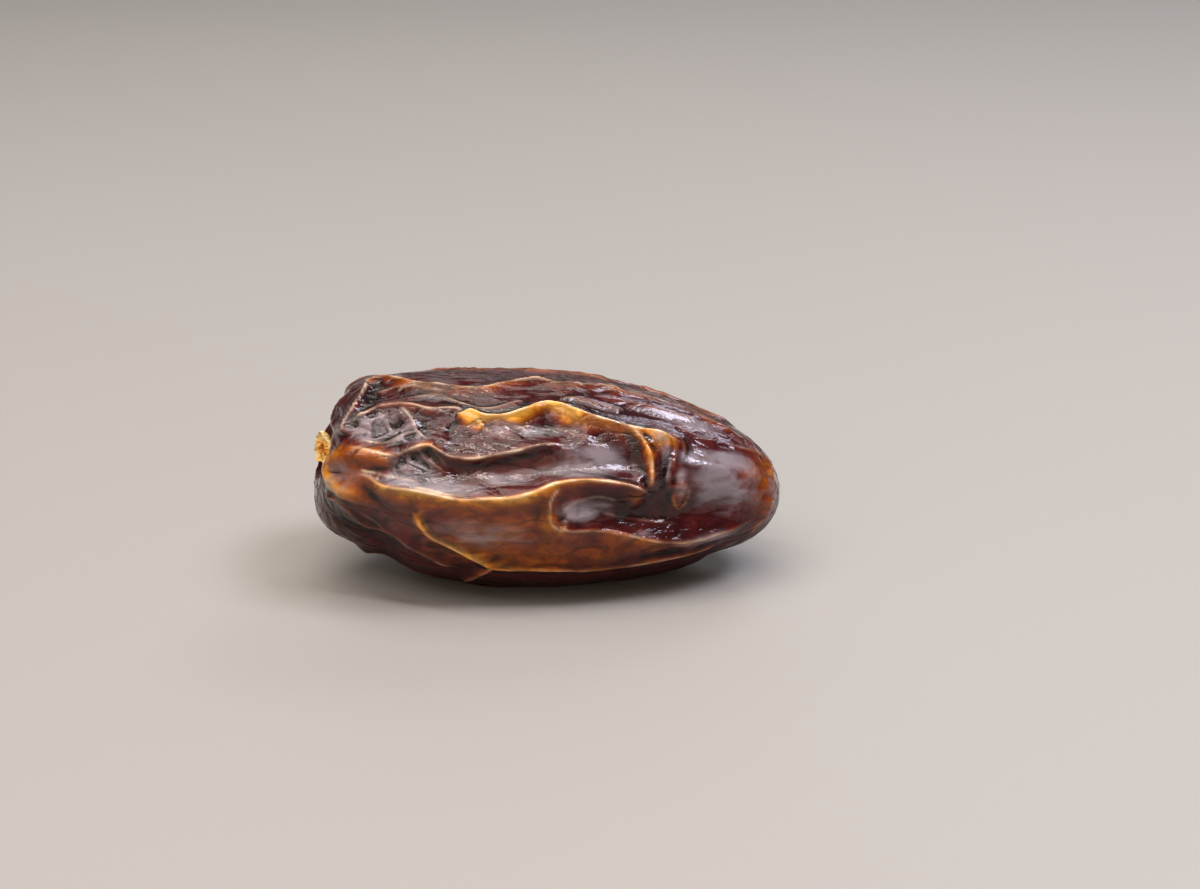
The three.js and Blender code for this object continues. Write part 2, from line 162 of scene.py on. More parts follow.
# Points of a fold are (along, up) in mm from the middle of the view on the front, and
# (along, degrees round) on the far side. width is given for the side that faces up on a fold drawn
# from left to right, and for the other one. lean shifts a crest to the first side. fade is the length
# in mm over which each end runs out. gold is how far its amber reaches to each side, in mm, and how
# strong it is. edge is how pale the skin is along the crest, partly worn thin skin and partly a
# painted highlight. shade is a painted shade line beside it: how far off, in mm, and how dark.
# sharpness is 1 for a knife edge and 2 for a round one.
frontFolds = {
    "brow": dict(height=1.2, width=(0.65, 1.25), lean=0.4, fade=(2, 4), gold=(0.3, 1.2, 1), edge=0.8,
        shade=(1.4, 0.95), points=[(-10.2, 7.9), (-8.2, 7.4), (-6.6, 6.9), (-4.4, 6.9), (-2.2, 7.5),
        (-0.2, 8.15), (1.4, 7.9), (4.2, 6.9), (7.3, 5.9), (11, 4.8), (15, 4.2)]),
    "browLeft": dict(height=0.55, width=(0.6, 0.8), lean=0.2, gold=(0.3, 0.4, 0.35), edge=0.5,
        points=[(-20.7, 6.5), (-19.3, 7.4), (-17.6, 8.2), (-15.2, 8.4), (-12.6, 7.8), (-10.4, 7.9),
        (-8.6, 7.6)]),
    "browTurn": dict(height=1, width=(0.9, 0.6), lean=0.1, fade=(0, 1.5), gold=(0.25, 0.4, 0.6),
        edge=0.4, shade=(-0.8, 0.3), points=[(8.6, 5.4), (9.9, 4.2), (10.7, 2.6), (11, 0.8),
        (10.9, -0.6), (10.4, -1.7)]),
    "browSpur": dict(height=0.65, width=(0.45, 0.5), lean=0.2, fade=(0.5, 0.5), gold=(0.5, 0.4, 0.85),
        edge=0.7, points=[(-9.9, 7.5), (-8.7, 6.9), (-7.4, 6.2), (-6.8, 5.4)]),
    "crown": dict(height=0.8, width=(0.5, 0.9), lean=0.35, fade=(0.5, 3), gold=(0.25, 0.9, 0.45),
        edge=0.6, points=[(-19.4, 10.6), (-17.6, 11.2), (-14.6, 10.7), (-11.4, 10.3), (-7.4, 9.9),
        (-4.2, 10.5), (-1.2, 10.9), (1, 10.4), (3.4, 10.3), (7, 9.9), (10, 9.2)]),
    "stemCliff": dict(height=0.9, width=(0.55, 0.7), lean=0.2, fade=(0.5, 0.5), gold=(0.3, 0.3, 0.15),
        edge=0.55, points=[(-19.2, 10.8), (-19.6, 9.8), (-20.4, 8.2), (-21.2, 6.6), (-21.8, 4.8)]),
    "shoulder": dict(height=0.4, width=(0.8, 0.8), gold=(0.4, 0.4, 0.2), edge=0.4, points=[(-21.1, 9.3),
        (-22.4, 7.4), (-22.9, 5.2)]),
    "middle": dict(height=0.75, width=(0.9, 0.7), lean=-0.1, fade=(3, 4), gold=(0.5, 0.35, 0.15),
        edge=0.8, shade=(-0.65, 0.9), points=[(-16.8, 2.7), (-14.6, 3.7), (-12.6, 4), (-10.6, 2.9),
        (-7.9, 2.6), (-5.4, 3), (-3, 3.4), (-0.6, 4), (2.5, 4.2)]),
    "hook": dict(height=1, width=(1.15, 1.15), fade=(3, 7), gold=(1, 1, 0.7), edge=0.05, sharpness=2.2,
        points=[(-14.8, 2.4), (-17.4, 2.7), (-20, 2.8), (-22, 2.3), (-23, 0.8), (-22.6, -0.8),
        (-21.2, -1.7), (-18.8, -2.2), (-15.6, -2.7)]),
    "lip": dict(height=1.4, width=(1.25, 1.6), lean=0.15, fade=(4, 2), gold=(0.2, 1.35, 1), edge=0.85,
        points=[(-20.4, 0.9), (-19.2, 0.3), (-17.4, -0.5), (-14.6, -1), (-11.6, -1.7), (-9.4, -2.15),
        (-6.5, -2.1), (-3.4, -2), (-1.2, -1.4), (1, -0.5), (4, -0.2), (7.2, -0.5), (9.6, -1.2),
        (11.4, -2)]),
    "lipDrop": dict(height=0.55, width=(1.1, 1.5), fade=(0.5, 0.5), gold=(0.7, 1.5, 0.5), edge=0.35,
        sharpness=2, points=[(1.4, -0.9), (0.5, -2), (0.2, -3.4), (0.5, -4.8), (1.8, -5.6)]),
    "keel": dict(height=1, width=(0.95, 1.5), lean=0.1, fade=(1, 5), gold=(0.2, 1.1, 0.4), edge=0.3,
        shade=(0.85, 0.3), points=[(0.9, -5), (2.6, -5.7), (5.4, -5.8), (8.6, -6.4), (12.2, -7.1),
        (15.4, -7), (18.4, -6.3), (21, -5.6), (22.8, -4.8)]),
    "panelEdge": dict(height=0.75, width=(0.9, 0.7), fade=(2, 3), gold=(0.3, 0.5, 0.5), edge=0.35,
        shade=(0.6, 0.3), points=[(-14.4, -2.6), (-14, -4), (-12.6, -5.8), (-10.4, -7), (-7.8, -8.5),
        (-5.8, -9.5), (-2.4, -9.7), (3, -9.8), (9.3, -9.3), (14.4, -8.4), (19.6, -7.2)]),
    "chin": dict(height=0.6, width=(0.8, 0.8), fade=(1, 2), gold=(0.3, 0.3, 0.1), edge=0.2,
        points=[(-23.6, -2), (-21.2, -3.3), (-19.1, -5.2), (-15.8, -6.3), (-12.6, -8.2), (-9.4, -9.8)]),
    "underSpur": dict(height=0.7, width=(0.7, 0.7), fade=(1, 0.5), gold=(0.5, 0.5, 0.35), edge=0.25,
        points=[(-9.2, -11), (-7.4, -10.3), (-5.8, -9.4)]),
    "endCrease": dict(height=0.3, width=(0.6, 0.5), gold=(0.5, 0.5, 0.1), edge=0.1, points=[(13.4, 4.6),
        (13.6, 2.4), (13, 0.2), (13.2, -1.8)]),
    "endRim": dict(height=0.2, width=(0.8, 0.8), fade=(2.5, 2.5), gold=(1, 2.2, 0.5), edge=0,
        points=[(22.6, 4.2), (23.8, 2), (24.2, -0.6), (23.8, -3.4), (22.6, -5.8)]),
    "upperEdge": dict(height=0.35, width=(0.8, 0.8), fade=(2, 2), gold=(1.6, 0.9, 0.45), edge=0.1,
        points=[(3.4, 10.3), (9.3, 9.2), (14.4, 7.7), (17.8, 6), (21, 4.2)]),
    "lidLine": dict(height=0.4, width=(0.4, 0.6), gold=(0.3, 0.3, 0.2), edge=0.15, shade=(0.6, 0.5),
        points=[(1.2, 8.9), (3.5, 8.9), (6, 8.3), (8.6, 7.6)]),
}
farFolds = {
    "spine": dict(height=0.8, width=(1, 0.8), lean=0.2, fade=(2, 3), gold=(0.3, 0.8, 0.5),
        points=[(-22, 122), (-15, 127), (-8, 117), (-1, 113), (6, 116), (15, 121), (21, 112)]),
    "backUpper": dict(height=1.15, width=(0.9, 1.4), lean=0.4, fade=(4, 3), gold=(0.3, 1.3, 0.9),
        points=[(-22.5, 160), (-15, 150), (-8, 158), (-1, 147), (6, 152), (13, 143), (19, 148),
        (23, 142)]),
    "backMiddle": dict(height=1, width=(1.3, 0.8), lean=-0.3, fade=(4, 3), gold=(1.2, 0.3, 0.6),
        points=[(-23, 190), (-16, 178), (-10, 185), (-3, 175), (4, 181), (10, 172), (17, 171)]),
    "backBranch": dict(height=0.8, width=(0.8, 0.8), lean=0.2, fade=(0.5, 1), gold=(0.4, 0.8, 0.6),
        points=[(-3, 175), (1, 168), (6, 163), (11, 152)]),
    "backLower": dict(height=1.2, width=(0.8, 1.6), lean=0.4, fade=(4.5, 4), gold=(0.3, 1.6, 0.95),
        points=[(-22, 214), (-14, 203), (-6, 210), (1, 200), (8, 206), (15, 197), (22, 199)]),
    "backSkirt": dict(height=0.9, width=(0.8, 1.2), fade=(4, 3), gold=(0.6, 1.2, 0.7),
        points=[(-22.5, 238), (-15, 228), (-8, 235), (0, 225), (8, 231), (14, 222), (20, 225)]),
    "baseFar": dict(height=0.7, width=(1.1, 1.1), fade=(2, 2), gold=(0.5, 0.5, 0.3), points=[(-21, 264),
        (-12, 254), (-4, 260), (4, 251), (12, 257), (19, 249)]),
    "baseNear": dict(height=0.7, width=(1.1, 1.1), fade=(2, 2), gold=(0.5, 0.5, 0.3), points=[(-21, 290),
        (-13, 282), (-5, 287), (3, 279), (11, 285), (18, 280)]),
    "crossBack": dict(height=0.7, width=(0.7, 0.7), fade=(0.5, 0.5), gold=(0.5, 0.5, 0.5),
        points=[(-10, 185), (-8.5, 197), (-6, 210)]),
    "crossLower": dict(height=0.7, width=(0.7, 0.7), fade=(0.5, 0.5), gold=(0.5, 0.5, 0.5),
        points=[(8, 206), (10, 217), (8, 231)]),
    "crossSkirt": dict(height=0.6, width=(0.7, 0.7), fade=(0.5, 0.5), gold=(0.5, 0.5, 0.4),
        points=[(-8, 235), (-10.5, 244), (-12, 254)]),
    "crossSpine": dict(height=0.6, width=(0.7, 0.7), fade=(0.5, 0.5), gold=(0.5, 0.5, 0.4),
        points=[(-8, 117), (-6, 133), (-1, 147)]),
}
# Thin folds and lines on the front, too fine for the part's own mesh. The height of browLine is
# below 0, which raises the skin all the same and shows the line a little further up. browLine, lipLine,
# panelLine and chinLine carry painted shade lines.
fineFolds = {
    "lipDouble": dict(height=0.19, width=(0.24, 0.51), fade=(0.5, 1), gold=(0.3, 0.3, 0.2), edge=0.95,
        points=[(-19.9, 1.2), (-17.6, 0.8), (-15.8, 0.5), (-13.4, 0)]),
    "hookTop": dict(height=0.1, width=(0.2, 0.4), fade=(0.8, 1.2), gold=(0.2, 0.6, 0.5), edge=0.6,
        points=[(-21, 3.35), (-19.4, 3.3), (-17.6, 3), (-15.8, 2.75)]),
    "overLip": dict(height=0.22, width=(0.28, 0.59), gold=(0.3, 0.3, 0.2), edge=0.55,
        points=[(-14.6, -0.4), (-13.1, -0.75), (-10.6, -1.35), (-8.3, -1.5)]),
    "troughLeft": dict(height=0.22, width=(0.32, 0.51), lean=0.2, fade=(0.5, 1), gold=(0.2, 0.3, 0.1),
        edge=0.15, points=[(-13.9, 3.7), (-12.9, 2.4), (-11.6, 1.5), (-10.6, 0.7)]),
    "troughLeftToo": dict(height=0.19, width=(0.24, 0.68), fade=(0.5, 1), gold=(0.2, 0.3, 0.1),
        edge=0.15, points=[(-12.4, 3.5), (-11.4, 2.5), (-10.6, 1.2)]),
    "facetTop": dict(height=0.28, width=(0.32, 0.85), lean=0.2, fade=(0.6, 1), gold=(0.3, 0.4, 0.2),
        edge=0.4, points=[(-15.6, 8), (-14.6, 7), (-13.9, 5.6), (-12.7, 4.6)]),
    "facetLow": dict(height=0.22, width=(0.32, 0.68), gold=(0.3, 0.3, 0.15), edge=0.35,
        points=[(-20, 4.4), (-17.6, 4.2), (-15.6, 5.2), (-13.9, 5.6)]),
    "greyRidge": dict(height=0.25, width=(0.32, 1.02), lean=0.1, gold=(0.2, 0.3, 0.1), edge=0.45,
        points=[(-15.8, 8.8), (-13.1, 9.1), (-11.1, 9), (-8.7, 8.2), (-6.6, 7.8), (-4.6, 8.1),
        (-2.4, 8.7)]),
    "underBrow": dict(height=0.19, width=(0.4, 0.85), fade=(1.5, 2), gold=(0.3, 0.3, 0.05), edge=0.12,
        points=[(-7.6, 4.6), (-5, 4.9), (-2, 5.7), (1, 5.6), (4, 4.6), (6.6, 4)]),
    "leafTop": dict(height=0.19, width=(0.4, 0.59), fade=(0.6, 1), gold=(0.5, 0.4, 0.15), edge=0.18,
        points=[(1.4, -3.6), (3, -2.4), (5.4, -1.9), (7.6, -2.4)]),
    "leafLow": dict(height=0.19, width=(0.32, 0.85), fade=(0.6, 1.5), gold=(0.3, 0.3, 0.1), edge=0.12,
        points=[(5.6, -3.4), (8, -4.3), (11, -4.9), (14.2, -5.2)]),
    "browLine": dict(height=-0.12, width=(0.24, 0.24), fade=(2, 1), gold=(0.2, 0.2, 0), shade=(0, 1),
        points=[(0.6, 8.75), (2.4, 8.35), (4.6, 7.55), (6.4, 6.8), (8.2, 6.05), (10, 5.5), (11.8, 5.2)]),
    "lipLine": dict(height=0.02, width=(0.2, 0.2), gold=(0.2, 0.2, 0), shade=(0, 0.85),
        points=[(0.8, 0.4), (2.4, 0.75), (4.6, 0.55), (6.4, 0.15), (8.2, -0.4), (10, -1.1)]),
    "panelLine": dict(height=0.02, width=(0.2, 0.2), fade=(1, 2), gold=(0.4, 0.6, 0.4), shade=(0, 0.5),
        points=[(-13.6, -2.2), (-13.1, -4), (-12, -5.3), (-10.4, -6.2), (-8.4, -7.3), (-6.4, -8.4),
        (-3, -9)]),
    "chinLine": dict(height=0.02, width=(0.2, 0.2), fade=(1, 2), gold=(0.2, 0.2, 0), shade=(0, 0.7),
        points=[(-23.2, -2.4), (-20.6, -3.8), (-18.6, -5.7), (-15.2, -6.9), (-12, -8.8)]),
    "dropEdge": dict(height=0.02, width=(0.2, 0.2), fade=(0.8, 0.8), gold=(0.25, 0.25, 0.5), edge=0.1,
        points=[(13.5, -0.5), (13.7, -2.4), (14.4, -3.5), (15.2, -2.6), (15.3, -0.8)]),
    "knot": dict(height=0.1, width=(0.3, 0.5), fade=(0.3, 0.8), gold=(0.3, 0.3, 0.3), edge=0.05,
        shade=(0.3, 0.8), points=[(12.6, 4.9), (13.8, 4.7), (14.5, 4), (14.7, 3), (14.4, 2)]),
    "crackHigh": dict(height=0.19, width=(0.24, 0.51), fade=(0.5, 0.5), gold=(0.3, 0.3, 0.15), edge=0.15,
        points=[(13.8, 5.9), (15.2, 5), (16.8, 4.1), (18, 4)]),
    "crackEnd": dict(height=0.15, width=(0.24, 0.51), fade=(0.5, 0.5), gold=(0.3, 0.3, 0.15), edge=0.12,
        points=[(19.4, 3.4), (20.6, 3.1), (21.8, 2.9), (23, 2.5)]),
    "chinHigh": dict(height=0.19, width=(0.32, 0.68), fade=(0.6, 1), gold=(0.3, 0.3, 0.1), edge=0.15,
        points=[(-23.9, -1.2), (-22, -2.3), (-19.9, -3.3), (-17.1, -5.5), (-15.4, -7.1)]),
    "crownLow": dict(height=0.19, width=(0.32, 1.02), gold=(0.3, 0.5, 0.2), edge=0.3,
        points=[(-18.6, 9.4), (-16, 10), (-13, 9.6), (-9.8, 9.2)]),
    "upperRight": dict(height=0.15, width=(0.32, 0.68), gold=(0.3, 0.4, 0.2), edge=0.12, points=[(5, 9),
        (9, 8.3), (13, 7.1), (16.4, 5.9)]),
}
foldShape = {
    "plain": {"lean": 0, "fade": (1, 1), "shade": (0, 0), "sharpness": 1.15},  # where a fold doesn't say
    "blend": 4,  # how crisply folds that meet run into each other
    "reach": 4,  # widths beyond which a fold does nothing
    "leastFade": 0.01,  # mm
    "edge": 0.12,  # mm, half width of the pale line along a crest, partly worn skin and partly painted highlight
    "edgeShare": 0.25,  # how pale a crest is for its gold, where its fold doesn't say
    "shade": 0.25,  # mm, half width of the painted shade line beside it
    "goldForm": 3,  # 2 fades the amber out softly, and more gives it a firmer edge
    "goldEnd": 0.8,  # mm that the amber runs on past a fold's ends
    "wander": (0.5, 2.4),  # share by which the amber bands grow wider and narrower, and how often in mm
    "fading": (0.92, 0.4, 0.5, 3.5),  # amber's middle strength, its swing, its least and the size in mm
    "rubbing": (0.3, -0.3, 0.25, 1.5),  # least share of the thin lines, noise from and to, size in mm
}

# Patches are a place, as for the folds, half a length and half a width in mm, and an amount.
# A swelling's amount is its rise in mm.
frontSwellings = [
    ((-2, 0.9), (10.5, 1.8), -0.9),  # the long trough above the lip
    ((-1, 5.4), (9, 1.2), -0.45),
    ((12.5, -3.9), (9, 2.1), -1.15),  # the trough above the keel
    ((-7, -5), (6, 2.6), 0.45),
    ((6, -7.9), (5, 1.2), 0.3),
    ((18, 1.4), (4.2, 3), 0.5),
    ((14.4, -1.8), (0.8, 1.9), 0.6),  # a small drop-shaped blister
    ((9.5, 7), (7, 1.4), -0.4),
    ((-17, 5.4), (3.4, 1.8), -0.4),
    ((-12, 6), (3.4, 1.4), -0.3),
    ((-19.5, -5.4), (4, 2), -0.5),
]
fineSwellings = [
    ((4.2, -4.1), (2.6, 0.9), 0.6),
    ((18, 0.8), (4.5, 0.9), 0.3),
    ((14.5, 6.8), (5, 1.1), 0.35),
    ((20.6, -1.4), (2.2, 1.6), 0.25),
    ((8.8, 1.4), (2.2, 1.2), -0.25),
    ((-20.4, 0.5), (1.7, 1.3), 0.6),
    ((12, 3.2), (1.8, 2), 0.5),
]
farSwellings = [
    ((-14, 140), (5, 2.2), -0.5),
    ((5, 135), (7, 2.2), -0.5),
    ((-12, 168), (5, 2), -0.6),
    ((14, 160), (5, 2), 0.4),
    ((0, 190), (7, 2.2), -0.7),
    ((-15, 215), (4, 2), 0.4),
    ((12, 212), (5, 2), -0.6),
    ((-2, 216), (6, 2), -0.5),
]
# Waxy bloom mixed with painted sheen: a greyish mauve film, many of its patches laid where a reflection
# would lie, which dulls the skin
frontBloomAndSheen = [
    ((5.6, 2), (4.6, 1.9), 0.85),
    ((8.6, 7), (3.6, 0.8), 0.2),
    ((15.2, 6), (4.2, 1), 0.9),
    ((4.1, -3.3), (2.9, 1.2), 1),
    ((18, 1.8), (4, 0.9), 1),
    ((17.2, 1.5), (3, 0.8), 0.6),
    ((18.4, -1), (4.4, 2.8), 0.75),
    ((10, -5.9), (3.6, 0.55), 0.5),
    ((17, -6.1), (5, 0.7), 0.85),
    ((-17.4, 5.6), (4.5, 1.8), 0.95),
    ((-15.5, 5.2), (3.6, 1.6), 0.4),
    ((-12.7, -0.3), (6.5, 0.8), 0.95),
    ((-2.6, 5.3), (5.5, 0.9), 0.8),
    ((-12.4, 8.7), (3, 0.35), 0.7),
    ((-5.6, 8.5), (3.6, 0.4), 0.5),
    ((-7, -5.6), (7, 2.4), 0.56),
    ((-14.2, 1.9), (2.6, 1.2), 0.8),
    ((-21.8, -0.2), (2.4, 2.2), 0.65),
    ((-4, 0.1), (4, 0.7), 0.85),
    ((1.5, 0.9), (4.5, 0.7), 0.75),
    ((21, -3), (3, 1.6), 0.35),
    ((11.8, 3.8), (1.5, 1.3), 0.6),
    ((14.2, -0.2), (0.6, 2), 0.55),
    ((12.6, 1.4), (0.6, 2.2), 0.8),
    ((24.2, -1.6), (1, 5), 0.5),
    ((21, 1.4), (3, 1.6), 0.4),
    ((-21.5, 7.4), (2, 2.4), 0.4),
]
# The same film of bloom and painted sheen on the far side
farBloomAndSheen = [
    ((-10, 175), (6, 2.4), 0.6),
    ((6, 190), (6, 2.2), 0.6),
    ((14, 150), (5, 2.2), 0.6),
    ((-14, 222), (5, 2.4), 0.5),
    ((-4, 135), (8, 2), 0.5),
    ((8, 235), (7, 2.6), 0.5),
]
# How golden the skin is away from its folds
frontTones = [
    ((-6.5, -5.2), (7.5, 3.4), 0.54),
    ((4, -7.8), (7, 2.2), 0.5),
    ((-20, 0.3), (2.6, 1.8), 0.5),
    ((-22.6, 0.3), (1.6, 2.4), 0.55),
    ((23, 0.8), (1.8, 3.6), 0.4),
    ((22.4, -5.4), (1, 0.8), 0.7),
    ((21.4, 0.5), (1.7, 1.4), 0.4),
    ((-12.6, 3.7), (1.8, 0.5), 0.6),
    ((-5, 1.6), (8, 1.6), 0.14),
    ((12.4, 3.9), (1.9, 0.9), 0.65),
    ((14.2, -0.8), (0.9, 2.2), 0.3),
    ((-16.5, -4), (2.6, 2), 0.3),
    ((-18.5, 5.6), (3, 1.4), 0.18),
    ((-6, -8), (7, 1.6), 0.5),
]
farTones = [
    ((-6, 222), (8, 3), 0.4),
    ((12, 190), (7, 2.4), 0.35),
    ((-16, 170), (4, 2.4), 0.3),
    ((21, 180), (3, 4), 0.35),
    ((4, 250), (8, 3), 0.3),
]
# Painted shade: places made darker and less glossy than the rest
frontDark = [
    ((-21.5, -4.6), (3, 2.2), 0.65),
    ((7.5, -1.8), (5, 0.6), 0.35),
    ((-0.5, -3.6), (1, 2.4), 0.25),
    ((-19.6, 9.2), (1.6, 1.6), 0.35),
    ((9, -3.2), (5, 1.2), 0.3),
    ((-11.5, 9.3), (4.5, 0.9), 0.5),
    ((-4, 10.2), (5, 0.7), 0.35),
    ((3, 9.3), (3, 0.5), 0.4),
    ((9, 7.2), (3.6, 0.9), 0.4),
]
# Places where the amber is duller
frontDuller = [
    ((7.6, 5.4), (4, 1.5), 0.5),
    ((-19, 2.6), (2.6, 0.8), 0.3),
    ((-4, 10.4), (6, 1), 0.55),
    ((-8, -2.6), (5, 0.8), 0.25),
    ((7.5, -1.2), (5.5, 0.65), 1),
    ((5, -1.6), (3.5, 0.6), 0.8),
]


def splinePoints(points, perSpan=8):
    p = np.array(points, float)
    last = len(p) - 1
    t = np.linspace(0, last, perSpan * last + 1)
    i = np.minimum(t.astype(int), last - 1)
    w = (t - i)[:, None]
    before, after = p[np.maximum(i - 1, 0)], p[np.minimum(i + 2, last)]
    startPull, endPull = (p[i + 1] - before) / 2, (after - p[i]) / 2
    rise = (3 - 2 * w) * w ** 2
    return p[i] + rise * (p[i + 1] - p[i]) + (w - 1) ** 2 * w * startPull + (w - 1) * w ** 2 * endPull


# A fold's line on the body, with its sideways direction at each point
def foldLine(fold, layOnBody):
    samples = splinePoints([layOnBody(p, fold["height"]) for p in fold["points"]])
    places = bodyPoints(samples[:, 0], samples[:, 1])
    steps = np.linalg.norm(np.diff(places, axis=0), axis=1)
    stations = np.concatenate([[0], np.cumsum(steps)])
    direction = np.gradient(places, axis=0)
    sides = unit(np.cross(bodyNormals(samples[:, 0], samples[:, 1]), direction))
    return {**foldShape["plain"], **fold, "places": places, "stations": stations, "sides": sides}


def nearestOnFold(line, points):
    starts, ends = line["places"][:-1], line["places"][1:]
    best = np.full(len(points), np.inf)
    station, off = np.zeros(len(points)), np.zeros(len(points))
    side = np.zeros((len(points), 3))
    for i, (start, edge) in enumerate(zip(starts, ends - starts)):
        share = np.clip((points - start) @ edge / (edge @ edge), 0, 1)
        gap = points - start - share[:, None] * edge
        distance = np.einsum("ij,ij->i", gap, gap)
        closer = distance < best
        best[closer] = distance[closer]
        station[closer] = line["stations"][i] + share[closer] * math.sqrt(edge @ edge)
        side[closer] = line["sides"][i]
        off[closer] = gap[closer] @ line["sides"][i]
    return np.sqrt(best), station, side, off


# What a fold does at each point: how high it lifts the skin and which way its crest is pulled, how
# golden it makes the skin, how pale along the crest, partly worn skin and partly painted highlight, and
# how much painted shade lies beside it
def foldEffect(line, points, wander):
    effect = {name: np.zeros(len(points)) for name in ("lift", "gold", "edge", "shade")}
    effect["pull"] = np.zeros((len(points), 3))
    reach = foldShape["reach"] * max(line["width"])
    low, high = line["places"].min(0) - reach, line["places"].max(0) + reach
    near = np.all((points > low) & (points < high), axis=1)
    if not near.any():
        return effect
    distance, station, side, off = nearestOnFold(line, points[near])
    fadeIn, fadeOut = line["fade"]
    least = foldShape["leastFade"]
    ends = smoothStep(-least, fadeIn + least, station)
    ends *= smoothStep(-least, fadeOut + least, line["stations"][-1] - station)
    ahead, behind = line["width"]
    width = (ahead + behind) / 2 + (ahead - behind) / 2 * off / np.maximum(distance, tiny)
    effect["lift"][near] = line["height"] * ends * np.exp(-((distance / width) ** line["sharpness"]))
    effect["pull"][near] = side * (line["lean"] * effect["lift"][near])[:, None]
    ahead, behind, strength = line["gold"]
    beyond = np.sqrt(np.maximum(distance ** 2 - off ** 2, 0))
    reached = off * (1 + foldShape["wander"][0] * wander[near])
    spread = np.abs(np.where(off > 0, reached / ahead, reached / behind)) ** foldShape["goldForm"]
    spread += (beyond / foldShape["goldEnd"]) ** 2
    effect["gold"][near] = strength * ends * np.exp(-spread)
    # The pale crest line is partly worn thin skin and partly a painted highlight
    worn = line.get("edge", foldShape["edgeShare"] * strength)
    effect["edge"][near] = worn * ends * np.exp(-((distance / foldShape["edge"]) ** 2))
    # Painted shade: a dark line beside the crest, where the fold's shadow falls
    place, strength = line["shade"]
    reached = np.hypot(off - place, beyond) / foldShape["shade"]
    effect["shade"][near] = strength * ends * np.exp(-(reached ** 2))
    return effect


# How strongly a patch is felt at each point: 1 in its middle, fading out round it
def bumpOn(place, size, layOnBody, points):
    step = 0.1
    x, turn = layOnBody(place)
    centre = bodyPoints(x, turn)
    along = unit(bodyPoints(x + step, turn) - centre)
    across = unit(np.cross(bodyNormals(x, turn), along))
    offset = points - centre
    beyond = np.maximum(np.linalg.norm(offset, axis=-1) - math.hypot(*size), 0)
    halfLength, halfWidth = size
    return np.exp(-((offset @ along / halfLength) ** 2) - (offset @ across / halfWidth) ** 2 - beyond)


def patchesOn(patches, layOnBody, points):
    return [amount * bumpOn(place, size, layOnBody, points) for place, size, amount in patches]


# The share that is left when each of a list of amounts has taken its part
def leftAfter(amounts):
    return np.prod([1 - amount for amount in amounts], axis=0)


def seatOffsets(points):
    offset = points - np.array(seat["centre"])
    height = offset @ seatAxis
    reach = np.linalg.norm(offset - height[..., None] * seatAxis, axis=-1)
    inside = 1 - smoothStep(seat["radius"], seat["radius"] + seat["rim"], reach)
    # The seat ends where its axis runs into the body, so the far side keeps its skin
    return height, reach, np.where(height > -seat["radius"], inside, 0)


def seatFloorAt(reach):
    return -seat["depth"] + seat["bowl"] * reach ** 2


# Each noise has a seed of its own, so that every run makes the same date
noiseSeeds = {
    "lumps": 0, "crumple": 1, "sway": 5, "wrinkles": 7, "fray": 21, "fineFray": 22, "fibres": 23,
    "chunks": 25, "wander": 31, "rubbing": 33, "fading": 35,
}
noiseStride = (17.3, 5.1, 29.7)  # how far apart in the noise two seeds lie


def noiseAt(points, size, name):
    offset = np.array(noiseStride) * (noiseSeeds[name] + 1)
    return np.array([noise.noise(p) for p in (points / np.array(size) + offset).tolist()])


def closedMesh(name, firstPole, rows, lastPole):
    rowCount, sectors = rows.shape[:2]
    points = np.concatenate([[firstPole], rows.reshape(-1, 3), [lastPole]])
    ring = np.arange(sectors)
    following = (ring + 1) % sectors
    start = 1 + np.arange(rowCount)[:, None] * sectors
    here, there = start[:-1] + ring, start[:-1] + following
    nextThere, nextHere = start[1:] + following, start[1:] + ring
    quads = np.stack([here, there, nextThere, nextHere], -1).reshape(-1, 4)
    last = len(points) - 1
    firstFan = np.stack([0 * ring, 1 + following, 1 + ring], -1)
    lastFan = np.stack([0 * ring + last, start[-1] + ring, start[-1] + following], -1)
    mesh = bpy.data.meshes.new(name)
    mesh.from_pydata(points.tolist(), [], firstFan.tolist() + quads.tolist() + lastFan.tolist())
    mesh.polygons.foreach_set("use_smooth", [True] * len(mesh.polygons))
    mesh.update()
    piece = bpy.data.objects.new(name, mesh)
    bpy.context.scene.collection.objects.link(piece)
    return piece


skin = {
    "rings": 275, "sectors": 355,
    "profileSteps": 4001,  # places along the outline that the rings are spaced by
    "crowding": 0.5, "crowdedAt": 35,  # sectors lie closer together round this angle, on the front
    "lumps": (0.12, 4.5), "crumple": (0.045, 1.3),  # height and size of the noise, in mm
    "wrinkles": (0.1, (5.5, 1.9), 5),  # height, size along and across the date, sharpness
    "sway": (6, 1.6),  # size of the waves that the wrinkles follow and how far they go, in mm
    "calmLumps": 0.6, "calmCreases": 0.75,  # share of the lumps, and of the crinkles and their painted crease shade, that calm skin lacks
    "underside": (0.85, 0.5, -6),  # share of its gloss that the skin loses, between these heights
    "fine": (2, 0.55), "broad": (5, 1),  # cells over which a bend is measured, and how much 1 per mm counts
    "crumpled": [
        ((-15.4, 6.2), (4.6, 2.2), 1),
        ((-13.4, 2), (2.6, 1.4), 0.9),
        ((-17, -6.5), (4, 1.8), 0.6),
    ],
    "calm": [  # where the skin is drawn smooth
        ((18, 1), (5.5, 4.5), 0.95),
        ((-6, -5.4), (8.5, 3.6), 0.6),
        ((5.5, 1.8), (4.5, 1.8), 0.95),
        ((8, 7.2), (6, 1.6), 0.8),
        ((-5, 1.2), (6, 1.6), 0.5),
        ((-20.6, 0.4), (2.8, 2.2), 0.8),
        ((19, -1.5), (4, 3.5), 0.5),
        ((14, 6.4), (5, 1.2), 0.6),
        ((3.8, -3.2), (2.6, 1.2), 0.7),
        ((-4, 9), (10, 1.2), 0.5),
    ],
}
